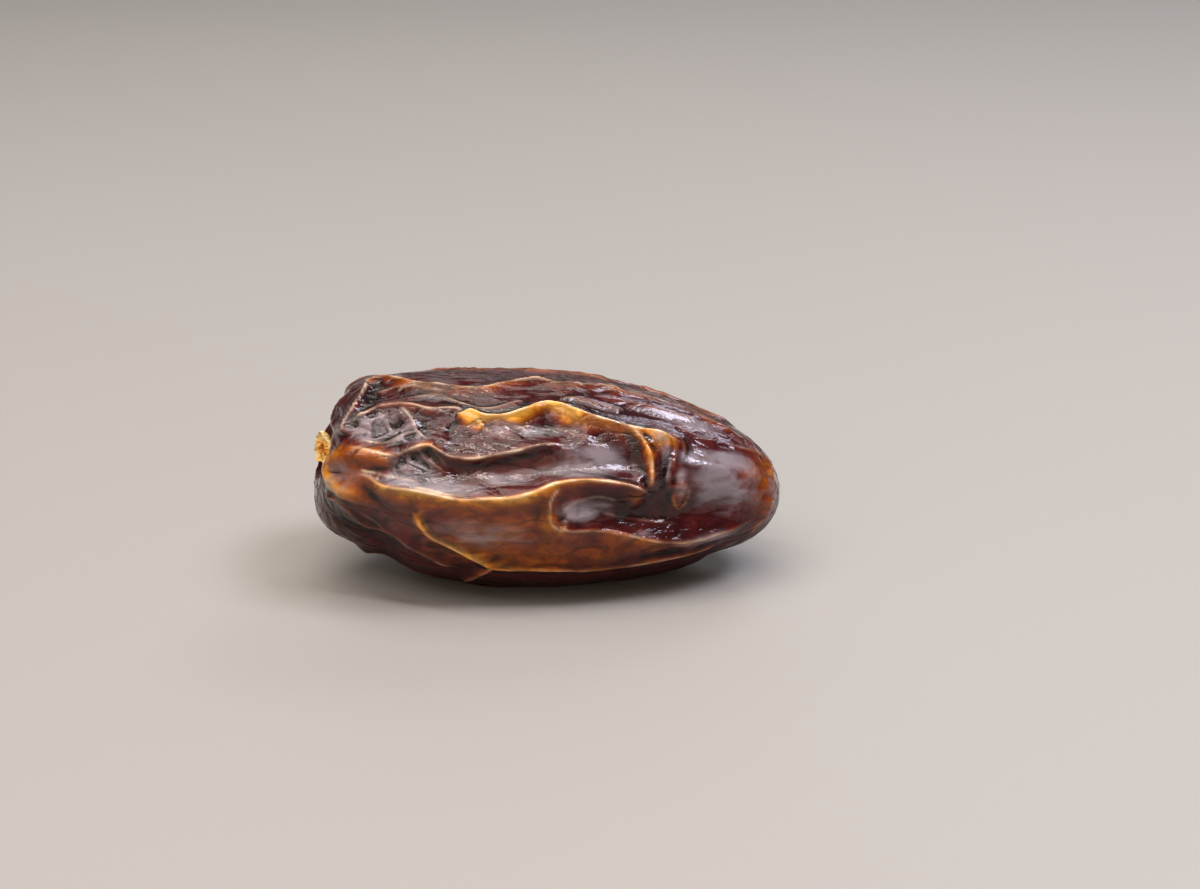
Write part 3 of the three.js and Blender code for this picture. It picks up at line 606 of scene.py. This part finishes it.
# The crumpled patches are small facets with ridges between them
facets = {
    "size": (2.2, 1.5, 1.5),
    "height": 0.17, "width": 0.13, "sharpness": 1.3,  # of the ridges: mm, share of a facet, and form
    "slant": 0.35, "level": 0.4,  # mm that a facet tips, and how far from a ridge it does so in full
    "sway": 0.7,
    "scatter": (91.7, 57.3, 73.1),  # turns a facet's place into a slant of its own
    "least": 0.04,  # share of crumpling below which there are none
}


# How high the folds stand, how golden they make the skin, and their pale crest lines, partly painted
# highlight, and painted shade lines
def foldedSkin(points):
    lines = [foldLine(fold, fromFront) for fold in frontFolds.values()]
    lines += [foldLine(fold, fromFront) for fold in fineFolds.values()]
    lines += [foldLine(fold, fromFar) for fold in farFolds.values()]
    wander = noiseAt(points, foldShape["wander"][1], "wander")
    effects = [foldEffect(line, points, wander) for line in lines]
    blend = foldShape["blend"]
    crest = sum(each["lift"] ** blend for each in effects) ** (1 / blend)
    shares = [(each["lift"] / np.maximum(crest, tiny)) ** (blend - 1) for each in effects]
    least, low, high, size = foldShape["rubbing"]
    rubbed = least + (1 - least) * smoothStep(low, high, noiseAt(points, size, "rubbing"))
    middle, swing, least, size = foldShape["fading"]
    strength = np.clip(middle + swing * noiseAt(points, size, "fading"), least, 1)
    return {
        "crest": crest,
        "pull": sum(each["pull"] * share[:, None] for each, share in zip(effects, shares)),
        "gold": [each["gold"] * strength for each in effects],
        "edge": [each["edge"] * rubbed for each in effects],
        "shade": [each["shade"] * rubbed for each in effects],
    }


# How far the skin swells between its folds: broad swellings, lumps and long thin wrinkles
def swellingOf(points, sway, calm):
    swell = sum(patchesOn(frontSwellings + fineSwellings, fromFront, points))
    swell = swell + sum(patchesOn(farSwellings, fromFar, points))
    for name in ("lumps", "crumple"):
        height, size = skin[name]
        swell = swell + height * noiseAt(points, size, name) * (1 - skin["calmLumps"] * calm)
    height, (along, across), sharpness = skin["wrinkles"]
    thin = 1 - np.abs(noiseAt(points + sway, (along, across, across), "wrinkles"))
    return swell + height * np.clip(thin, 0, 1) ** sharpness * (1 - calm)


def facetsOn(points, sway):
    crumpled = sum(patchesOn(skin["crumpled"], fromFront, points))
    near = crumpled > facets["least"]
    spots = (points + facets["sway"] * sway)[near] / np.array(facets["size"])
    cells = [noise.voronoi(spot) for spot in spots.tolist()]
    apart = np.array([distances[1] - distances[0] for distances, _ in cells])
    middles = np.array([list(places[0]) for _, places in cells])
    slant = np.sum((spots - middles) * np.sin(middles * facets["scatter"]), axis=1)
    ridge = facets["height"] * np.exp(-((apart / facets["width"]) ** facets["sharpness"]))
    rise = np.zeros(len(points))
    rise[near] = crumpled[near] * (ridge + facets["slant"] * slant * smoothStep(0, facets["level"], apart))
    return rise


# What the skin's material reads at each point, apart from the bends
def skinColours(points, folded, calm):
    golden = folded["gold"] + patchesOn(frontTones, fromFront, points) + patchesOn(farTones, fromFar, points)
    bloomedAndSheened = patchesOn(frontBloomAndSheen, fromFront, points) + patchesOn(farBloomAndSheen, fromFar, points)
    # lit is what the painted shade patches leave of the colour and the gloss
    lit = leftAfter(patchesOn(frontDark, fromFront, points))
    lost, high, low = skin["underside"]
    return {
        "gold": (1 - leftAfter(golden)) * leftAfter(patchesOn(frontDuller, fromFront, points)),
        "edge": 1 - leftAfter(folded["edge"]),
        # shade is painted shade: the dark lines beside the folds and the darker patches
        "shade": 1 - leftAfter(folded["shade"]) * lit,
        # Waxy bloom mixed with painted sheen
        "bloomAndSheen": 1 - leftAfter(bloomedAndSheened),
        "shine": (1 - lost * smoothStep(high, low, points[:, 2])) * lit,
        "wrinkle": 1 - skin["calmCreases"] * calm,
    }


def skinShape(x, turn):
    points = bodyPoints(x, turn)
    size, reach = skin["sway"]
    sway = noiseAt(points, size, "sway")[:, None] * np.array([0, reach, reach])
    calm = np.clip(sum(patchesOn(skin["calm"], fromFront, points)), 0, 1)
    folded = foldedSkin(points)
    rise = folded["crest"] + swellingOf(points, sway, calm) + facetsOn(points, sway)
    _, _, inside = seatOffsets(points)
    shaped = points + (bodyNormals(x, turn) * rise[:, None] + folded["pull"]) * (1 - inside)[:, None]
    height, reach, _ = seatOffsets(shaped)
    shaped = shaped + seatAxis * ((seatFloorAt(reach) - height) * inside)[:, None]
    shaped[:, 2] = np.maximum(shaped[:, 2], body["floor"])
    colours = skinColours(points, folded, calm)
    return shaped, {name: each * (1 - inside) for name, each in colours.items()}, inside


calyx = {
    "petals": 3,
    "radius": 1.75,
    "lobing": 0.14,  # share of the radius by which the petals stand out
    "teeth": 8,
    "raggedness": 0.06,  # share of the radius by which the teeth stand out
    "thickness": 0.8,
    "thinning": 0.35,  # share of the thickness that is lost towards the edge
    "curl": 0.6,  # how far the edge stands off the seat, and how much more it does so at the top
    "upperCurl": 0.3,
    "scar": (0.6, 0.25, 0.3),  # radius, width and height of the ring round the stalk's scar
    "gap": 0.3,
    "rings": 60, "sectors": 420,
    "plainGrid": (9, 56),  # rings and sectors of the part's own calyx
    "fibres": (0.06, 6, 1.5),  # mm that fibres stand up, and how closely they lie round it and outwards
    "chunks": (0.35, 0.4),  # height of its crumbly lumps in mm, and their size as a share of the radius
    "fray": 0.4,  # share of the radius that the edge is frayed by
    "frays": ((0.3, 1), (0.08, 0.5)),  # size and strength of the wide and the narrow frays
}


# Where the calyx's under and outer faces lie. worn turns its fibres, lumps and frayed edge on.
def calyxShape(share, turn, worn):
    petals = calyx["lobing"] * np.cos(turn * calyx["petals"])
    teeth = calyx["raggedness"] * np.sin(turn * calyx["teeth"] + np.sin(turn * calyx["petals"]))
    circle = np.stack([np.cos(turn), np.sin(turn), 0 * turn], -1).reshape(-1, 3)
    depths = [much * np.abs(noiseAt(circle, size, name))
              for name, (size, much) in zip(("fray", "fineFray"), calyx["frays"])]
    fray = sum(depths).reshape(turn.shape)
    reach = calyx["radius"] * share * (1 + petals + teeth - worn * calyx["fray"] * fray * share ** 3)
    curl = calyx["curl"] + calyx["upperCurl"] * np.sin(turn)
    under = seatFloorAt(reach) + calyx["gap"] + curl * share ** 4
    radius, width, rise = calyx["scar"]
    thickness = calyx["thickness"] * (1 - calyx["thinning"] * share ** 2)
    thickness = thickness + rise * np.exp(-(((reach - radius) / width) ** 2))
    height, across, along = calyx["fibres"]
    spots = circle * across + np.array([0, 0, along]) * share.reshape(-1, 1)
    fibre = noiseAt(spots, 1, "fibres").reshape(turn.shape)
    chunkHeight, chunkSize = calyx["chunks"]
    chunk = noiseAt(circle * share.reshape(-1, 1), chunkSize, "chunks").reshape(turn.shape)
    over = under + thickness + worn * (height * fibre * share + chunkHeight * chunk)
    right = unit(np.cross((0, 0, 1), seatAxis))
    top = np.cross(seatAxis, right)
    outwards = np.cos(turn)[..., None] * right + np.sin(turn)[..., None] * top
    flat = np.array(seat["centre"]) + reach[..., None] * outwards
    return flat + under[..., None] * seatAxis, flat + over[..., None] * seatAxis, fibre


def calyxGrid(rings, sectors):
    share = (np.arange(rings) + 1) / rings
    turn = 2 * np.pi * np.arange(sectors) / sectors
    return np.meshgrid(share, turn, indexing="ij")


# How far the part's middle lies from the middle of its box, found from the plain calyx, in mm
def frameShift():
    under, over, _ = calyxShape(*calyxGrid(*calyx["plainGrid"]), 0)
    both = np.concatenate([under.reshape(-1, 3), over.reshape(-1, 3)])
    low, high = (np.array(corner) * 1000 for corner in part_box("calyx"))
    found = (low + high) / 2 - (both.min(0) + both.max(0)) / 2
    found[2] = -body["floor"]
    return found


shift = frameShift()
print("frame: moved the part by", [round(float(value), 3) for value in shift], "mm")


def addAttributes(piece, values):
    for name, each in values.items():
        attribute = piece.data.attributes.new(name, "FLOAT", "POINT")
        attribute.data.foreach_set("value", np.asarray(each).astype(np.float32))


# How strongly a grid of points bends at each one: above 0 on a ridge and below 0 in a crease, per mm
def bendingOf(rows, outwards, cells):
    count = len(rows)
    ring = np.arange(count)
    before, after = rows[np.maximum(ring - cells, 0)], rows[np.minimum(ring + cells, count - 1)]
    left, right = np.roll(rows, cells, axis=1), np.roll(rows, -cells, axis=1)
    normals = unit(np.cross(right - left, after - before))
    normals *= np.sign(np.sum(normals * outwards, -1, keepdims=True))
    spans = sum(np.sum((each - rows) ** 2, -1) for each in (before, after, left, right)) / 4
    sag = rows - (before + after + left + right) / 4
    return 2 * np.sum(sag * normals, -1) / np.maximum(spans, tiny)


def makeSkin():
    swing = (1 - np.cos(np.linspace(0, np.pi, skin["profileSteps"]))) / 2
    fine = body["stemEnd"] + (body["apexEnd"] - body["stemEnd"]) * swing
    profile = np.concatenate([[0], np.cumsum(np.hypot(np.diff(fine), np.diff(radiusAt(fine))))])
    along = np.interp(np.linspace(profile[-1], 0, skin["rings"] + 1)[1:-1], profile, fine)
    even = 2 * np.pi * np.arange(skin["sectors"]) / skin["sectors"]
    turns = even - skin["crowding"] * np.sin(even - math.radians(skin["crowdedAt"]))
    x, turn = (grid.ravel() for grid in np.meshgrid(along, turns, indexing="ij"))
    x = np.concatenate([[body["apexEnd"]], x, [body["stemEnd"]]])
    turn = np.concatenate([[0], turn, [0]])
    shaped, values, inside = skinShape(x, turn)
    grid = (len(along), skin["sectors"], 3)
    outwards = bodyNormals(x, turn)[1:-1].reshape(grid)
    for name in ("fine", "broad"):
        cells, strength = skin[name]
        bend = bendingOf(shaped[1:-1].reshape(grid), outwards, cells) * strength
        low, high = np.percentile(bend, (2, 98)).round(2)
        print("skin:", name, "bends run from", low, "to", high)
        values[name] = np.concatenate([[0], np.clip(bend, -1, 1).ravel(), [0]]) * (1 - inside)
    placed = (shaped + shift) / 1000
    piece = closedMesh("date_skin", placed[0], placed[1:-1].reshape(grid), placed[-1])
    addAttributes(piece, values)
    return piece


def makeCalyx():
    share, turn = calyxGrid(calyx["rings"], calyx["sectors"])
    under, over, fibre = calyxShape(share, turn, 1)
    heartUnder, heartOver, _ = (row[0, 0] for row in calyxShape(np.zeros((1, 1)), np.zeros((1, 1)), 1))
    rows = (np.concatenate([under, over[::-1]]) + shift) / 1000
    piece = closedMesh("dry_calyx", (heartUnder + shift) / 1000, rows, (heartOver + shift) / 1000)
    for name, each in (("share", share), ("fibre", fibre)):
        both = np.concatenate([each, each[::-1]]).ravel()
        addAttributes(piece, {name: np.concatenate([[0], both, [0]])})
    return piece


# A link's source is an output, or a node whose first output is meant
def addNode(tree, kind, settings=None, links=None):
    node = tree.nodes.new("ShaderNode" + kind)
    for key, value in (settings or {}).items():
        if key == "stops":
            fillRamp(node.color_ramp, value)
        elif isinstance(key, int) or key in node.inputs:
            node.inputs[key].default_value = value
        else:
            setattr(node, key, value)
    for key, source in (links or {}).items():
        tree.links.new(getattr(source, "outputs", [source])[0], node.inputs[key])
    return node


def fillRamp(ramp, stops):
    ramp.elements.remove(ramp.elements[1])
    for i, (position, code) in enumerate(stops):
        stop = ramp.elements[0] if i == 0 else ramp.elements.new(position)
        stop.position = position
        stop.color = linearColour(code)


# Settings of a map range node: its low and high value, and what they become
def remap(low, high, lowResult, highResult):
    return {"From Min": low, "From Max": high, "To Min": lowResult, "To Max": highResult}


def attributesOf(tree, *names):
    return [addNode(tree, "Attribute", {"attribute_name": name}).outputs["Fac"] for name in names]


def startMaterial(name):
    material = bpy.data.materials.new(name)
    material.use_nodes = True
    tree = material.node_tree
    tree.nodes.clear()
    return material, tree


skinLook = {
    "tones": [
        (0, "#481215"), (0.2, "#60211C"), (0.4, "#7C3A1A"), (0.6, "#965010"), (0.8, "#C07A18"),
        (1, "#ECB048"),
    ],
    "worn": "#FAE6C6",  # the thin skin along a crest, dried off the flesh, and partly a painted highlight
    # Waxy bloom and painted sheen: the film's colour and how much of it covers the skin
    "bloomAndSheen": "#A9A4AA",
    "bloomAndSheenShare": 0.56,
    "bloomAndSheenFrom": (0.2, 0.65),  # amounts of bloom between which its film grows to its full share
    # Painted shade: this dark colour is laid into creases, hollows and crinkle lines, where shade falls
    "creaseShade": "#1C0706",
    "creases": (-0.06, -0.4, 0, 0.85),  # fine bends from and to, share of the painted crease shade from and to
    "hollows": (-0.05, -0.35, 0, 0.45),  # the same for broad bends
    "ridges": (0.3, 1, 0, 0.08),  # fine bends from and to, share of the pale worn colour, partly a painted highlight, from and to
    "crinkleShadeLines": (0.7, 1, 0, 0.4),  # the same for the crinkle's noise and the painted crease shade's colour
    "bendTone": 0.2,  # how much more golden a ridge is than flat skin
    "mottle": (3, 0.7),  # mm, size of the cloudy patches of colour, and how far they change it
    "freckle": (0.5, 0.3),  # mm, size of the fine speckle, and how far it changes the colour
    "smear": 1.4,  # mm, size of the streaks in which the bloom with its painted sheen and the partly painted pale edges are rubbed off
    "rubbing": (0.35, 0.6, 0.5, 1),  # smear's noise from and to, share that stays from and to
    "stretch": (0.38, 1, 1),  # streaks and creases run along the date
    "crinkle": (1.5, 0.5, 0.2),  # mm between the fine creases, how strong they are and their depth in mm
    "grain": (0.35, 0.35, 0.1),  # the same for the finest wrinkles
    "roughness": (0, 1, 0.3, 0.5),  # bloom from and to, roughness from and to
}


# Dried date skin, wrinkled as the flesh shrank under it. It is amber where it is thin over a fold and
# maroon in the hollows, with painted shade laid into the creases and beside the folds. A waxy bloom
# mixed with painted sheen dulls it in patches, its pale crest lines are partly worn skin and partly
# painted highlight, and syrup on it gives sharp wet lights.
def driedSkinMaterial():
    material, tree = startMaterial("driedDateSkinWithBloom")
    place = addNode(tree, "TexCoord").outputs["Object"]
    gold, edge, bloomAndSheen, shade = attributesOf(tree, "gold", "edge", "bloomAndSheen", "shade")
    fine, broad, wrinkle, shine = attributesOf(tree, "fine", "broad", "wrinkle", "shine")
    stretched = addNode(tree, "Mapping", {"Scale": skinLook["stretch"]}, {"Vector": place})
    spacing, crinkleStrength, crinkleDepth = skinLook["crinkle"]
    creases = addNode(tree, "TexNoise", {
        "noise_type": "RIDGED_MULTIFRACTAL", "Scale": 1000 / spacing, "Detail": 3, "Roughness": 0.5,
        "Offset": 1, "Gain": 1, "Distortion": 0.3,
    }, {"Vector": stretched})
    size, change = skinLook["mottle"]
    mottle = addNode(tree, "TexNoise", {
        "Scale": 1000 / size, "Detail": 4, "Roughness": 0.6,
    }, {"Vector": place})
    clouds = addNode(tree, "Math", {"operation": "MULTIPLY_ADD", 1: change, 2: -change / 2}, {0: mottle})
    size, change = skinLook["freckle"]
    freckle = addNode(tree, "TexNoise", {"Scale": 1000 / size, "Detail": 4}, {"Vector": place})
    specks = addNode(tree, "Math", {"operation": "MULTIPLY_ADD", 1: change, 2: -change / 2}, {0: freckle})
    cloudy = addNode(tree, "Math", {"operation": "ADD"}, {0: clouds, 1: specks})
    bent = addNode(tree, "Math", {
        "operation": "MULTIPLY_ADD", 1: skinLook["bendTone"],
    }, {0: broad, 2: cloudy})
    tone = addNode(tree, "Math", {"operation": "ADD", "use_clamp": True}, {0: gold, 1: bent})
    ramp = addNode(tree, "ValToRGB", {"stops": skinLook["tones"]}, {"Fac": tone})
    smear = addNode(tree, "TexNoise", {
        "Scale": 1000 / skinLook["smear"], "Detail": 3, "Roughness": 0.5,
    }, {"Vector": stretched})
    patchy = addNode(tree, "MapRange", remap(*skinLook["rubbing"]), {"Value": smear})
    dull = addNode(tree, "Math", {"operation": "MULTIPLY", "use_clamp": True}, {0: patchy, 1: bloomAndSheen})
    # Painted sheen mixed with waxy bloom: a greyish mauve film over the skin's colour
    film = addNode(tree, "MapRange", {
        "interpolation_type": "SMOOTHSTEP", **remap(*skinLook["bloomAndSheenFrom"], 0, skinLook["bloomAndSheenShare"]),
    }, {"Value": dull})
    bloomedAndSheened = addNode(tree, "Mix", {
        "data_type": "RGBA", 7: linearColour(skinLook["bloomAndSheen"]),
    }, {0: film, 6: ramp})
    # Painted shade in creases, hollows and crinkle lines, together with the painted shade lines and patches
    creaseShade = addNode(tree, "MapRange", remap(*skinLook["creases"]), {"Value": fine})
    hollow = addNode(tree, "MapRange", remap(*skinLook["hollows"]), {"Value": broad})
    lines = addNode(tree, "MapRange", remap(*skinLook["crinkleShadeLines"]), {"Value": creases})
    sunken = addNode(tree, "Math", {"operation": "ADD"}, {0: hollow, 1: creaseShade})
    lined = addNode(tree, "Math", {"operation": "ADD"}, {0: sunken, 1: lines})
    shadeShare = addNode(tree, "Math", {
        "operation": "MULTIPLY_ADD", "use_clamp": True,
    }, {0: lined, 1: wrinkle, 2: shade})
    shadeMixed = addNode(tree, "Mix", {
        "data_type": "RGBA", 7: linearColour(skinLook["creaseShade"]),
    }, {0: shadeShare, 6: bloomedAndSheened.outputs[2]})
    # Painted highlight, partly real worn skin: crest lines and sharp ridges are mixed towards the pale
    # colour
    ridge = addNode(tree, "MapRange", remap(*skinLook["ridges"]), {"Value": fine})
    pale = addNode(tree, "Math", {"operation": "ADD"}, {0: edge, 1: ridge})
    wornAndHighlightShare = addNode(tree, "Math", {"operation": "MULTIPLY", "use_clamp": True}, {0: pale, 1: patchy})
    worn = addNode(tree, "Mix", {
        "data_type": "RGBA", 7: linearColour(skinLook["worn"]),
    }, {0: wornAndHighlightShare, 6: shadeMixed.outputs[2]})
    rough = addNode(tree, "MapRange", remap(*skinLook["roughness"]), {"Value": dull})
    deep = addNode(tree, "Math", {"operation": "MULTIPLY", 1: crinkleStrength}, {0: wrinkle})
    crinkled = addNode(tree, "Bump", {
        "invert": True, "Distance": crinkleDepth / 1000,
    }, {"Height": creases, "Strength": deep})
    size, grainStrength, grainDepth = skinLook["grain"]
    grain = addNode(tree, "TexNoise", {"Scale": 1000 / size, "Detail": 3}, {"Vector": place})
    bump = addNode(tree, "Bump", {
        "Strength": grainStrength, "Distance": grainDepth / 1000,
    }, {"Height": grain, "Normal": crinkled})
    shader = addNode(tree, "BsdfPrincipled", {
        "IOR": 1.48, "Specular IOR Level": 0.18, "Coat Roughness": 0.05, "Coat IOR": 1.5,
        "Subsurface Weight": 0.12, "Subsurface Radius": (1, 0.35, 0.12), "Subsurface Scale": 0.0003,
    }, {
        "Base Color": worn.outputs[2], "Roughness": rough, "Coat Weight": shine,
        "Normal": bump, "Coat Normal": bump,
    })
    addNode(tree, "OutputMaterial", links={"Surface": shader})
    return material


calyxLook = {
    "tones": [(0, "#8A5018"), (0.25, "#C48430"), (0.45, "#E4AC4C"), (0.7, "#F2CC80"), (1, "#FAE6B4")],
    "fibreShare": 0.5,  # how far a fibre changes the colour
    "stain": (1.2, 0.8, -0.42),  # mm, size of the brown stains, how far they change the tone, and its start
    "grain": (0.25, 0.5, 0.1),  # mm, size of the roughness between the fibres, its strength and depth
    "roughness": (0, 1, 0.6, 0.85),  # grain's noise from and to, roughness from and to
}


# Dry calyx husk, left matt and fibrous: brown round the scar and straw-pale at the edge
def dryHuskMaterial():
    material, tree = startMaterial("dryFibrousHusk")
    place = addNode(tree, "TexCoord").outputs["Object"]
    share, fibre = attributesOf(tree, "share", "fibre")
    streaks = addNode(tree, "Math", {
        "operation": "MULTIPLY_ADD", 1: calyxLook["fibreShare"],
    }, {0: fibre, 2: share})
    size, change, start = calyxLook["stain"]
    stain = addNode(tree, "TexNoise", {"Scale": 1000 / size, "Detail": 4}, {"Vector": place})
    stained = addNode(tree, "Math", {"operation": "MULTIPLY_ADD", 1: change}, {0: stain, 2: streaks})
    tone = addNode(tree, "Math", {"operation": "ADD", 1: start, "use_clamp": True}, {0: stained})
    ramp = addNode(tree, "ValToRGB", {"stops": calyxLook["tones"]}, {"Fac": tone})
    size, strength, depth = calyxLook["grain"]
    grain = addNode(tree, "TexNoise", {"Scale": 1000 / size, "Detail": 4}, {"Vector": place})
    rough = addNode(tree, "MapRange", remap(*calyxLook["roughness"]), {"Value": grain})
    bump = addNode(tree, "Bump", {"Strength": strength, "Distance": depth / 1000}, {"Height": grain})
    shader = addNode(tree, "BsdfPrincipled", {
        "IOR": 1.45, "Subsurface Weight": 0.15, "Subsurface Radius": (1, 0.6, 0.3),
        "Subsurface Scale": 0.0006,
    }, {"Base Color": ramp, "Roughness": rough, "Normal": bump})
    addNode(tree, "OutputMaterial", links={"Surface": shader})
    return material


def handOver(piece, material, node):
    piece.data.materials.append(material)
    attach(piece, "root")
    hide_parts(node)
    print(piece.name + ": made", len(piece.data.polygons), "faces in place of", node)


handOver(makeSkin(), driedSkinMaterial(), "fruit")
handOver(makeCalyx(), dryHuskMaterial(), "calyx")


def addCamera():
    tilt = math.radians(view["tilt"])
    middle = Vector(shift / 1000)
    away = Vector((0, -math.cos(tilt), math.sin(tilt)))
    rightOff = (view["imageSize"][0] / 2 - view["dateMiddleAt"][0]) / view["pixelsPerMm"] / 1000
    upOff = (view["dateMiddleAt"][1] - view["imageSize"][1] / 2) / view["pixelsPerMm"] / 1000
    aim = middle + Vector((rightOff, upOff * math.sin(tilt), upOff * math.cos(tilt)))
    data = bpy.data.cameras.new("camera")
    data.sensor_width = view["sensorWidth"]
    data.lens = view["pixelsPerMm"] * view["distance"] * view["sensorWidth"] / view["imageSize"][0]
    data.clip_start = 0.01
    camera = bpy.data.objects.new("camera", data)
    camera.location = middle + away * view["distance"] / 1000
    camera.rotation_euler = (aim - camera.location).to_track_quat("-Z", "Y").to_euler()
    bpy.context.scene.collection.objects.link(camera)
    bpy.context.scene.camera = camera
    print("camera: lens", round(data.lens, 1), "mm, looking down", view["tilt"], "degrees")


# The room: sizes and places are in m, powers in W
room = {
    "floorSize": 3,
    "floorCuts": 2,
    "floorColour": "#A9A7A2",
    "floorRoughness": 0.6,
    "wallColour": "#EAE4E2",
    "wallLight": 0.12,
    "exposure": 0.15,
    "gamma": 0.85,  # below 1 deepens the dark tones
    "softboxes": {  # place, width and height, power, colour. All face the date.
        "overhead": ((0.05, 0.06, 0.9), (0.95, 0.34), 2.9, "#FCF3EA"),
        "behind": ((0.1, 0.9, 0.5), (1.3, 0.5), 1.2, "#F6F2F0"),
        "strip": ((-0.1, -0.2, 0.84), (0.9, 0.05), 3, "#FFF6EA"),  # thin lights along the folds
        "window": ((-0.3, -0.47, 0.8), (0.95, 0.4), 4, "#F8EEEA"),
        "front": ((-0.45, -1.1, 0.52), (1.7, 0.85), 4.1, "#FFEBD6"),  # large, so it adds no grey veil
        "side": ((0.5, -0.22, 0.82), (0.42, 0.26), 5.2, "#ECECFF"),  # small and cool, for the apex
        "sideBehind": ((0.4, 0.64, 0.66), (0.35, 0.2), 1.2, "#E6ECFF"),
    },
}


def addFloor():
    half, cuts = room["floorSize"] / 2, room["floorCuts"]
    ticks = np.linspace(-half, half, cuts + 1)
    points = [(x, y, 0) for y in ticks for x in ticks]
    corners = [row * (cuts + 1) + column for row in range(cuts) for column in range(cuts)]
    faces = [(i, i + 1, i + cuts + 2, i + cuts + 1) for i in corners]
    mesh = bpy.data.meshes.new("floor")
    mesh.from_pydata(points, [], faces)
    floor = bpy.data.objects.new("floor", mesh)
    bpy.context.scene.collection.objects.link(floor)
    # Board with a matt paint, which takes soft shadows and no sharp reflections
    material, tree = startMaterial("paleMattBoard")
    shader = addNode(tree, "BsdfPrincipled", {
        "Base Color": linearColour(room["floorColour"]), "Roughness": room["floorRoughness"],
    })
    addNode(tree, "OutputMaterial", links={"Surface": shader})
    mesh.materials.append(material)
    print("floor: added,", room["floorSize"], "m wide")


def addSoftbox(name, place, size, power, colour):
    data = bpy.data.lights.new(name, "AREA")
    data.shape = "RECTANGLE"
    data.size, data.size_y = size
    data.energy = power
    data.color = linearColour(colour)[:3]
    light = bpy.data.objects.new(name, data)
    light.location = place
    light.rotation_euler = (-light.location).to_track_quat("-Z", "Y").to_euler()
    bpy.context.scene.collection.objects.link(light)


def addRoomLight():
    world = bpy.data.worlds.new("room")
    bpy.context.scene.world = world
    world.use_nodes = True
    background = world.node_tree.nodes["Background"]
    background.inputs["Color"].default_value = linearColour(room["wallColour"])
    background.inputs["Strength"].default_value = room["wallLight"]
    look = bpy.context.scene.view_settings
    look.view_transform = "Standard"
    look.exposure = room["exposure"]
    look.gamma = room["gamma"]


addCamera()
addFloor()
for name, softbox in room["softboxes"].items():
    addSoftbox(name, *softbox)
addRoomLight()
print("lights:", len(room["softboxes"]), "softboxes and a dim grey room")
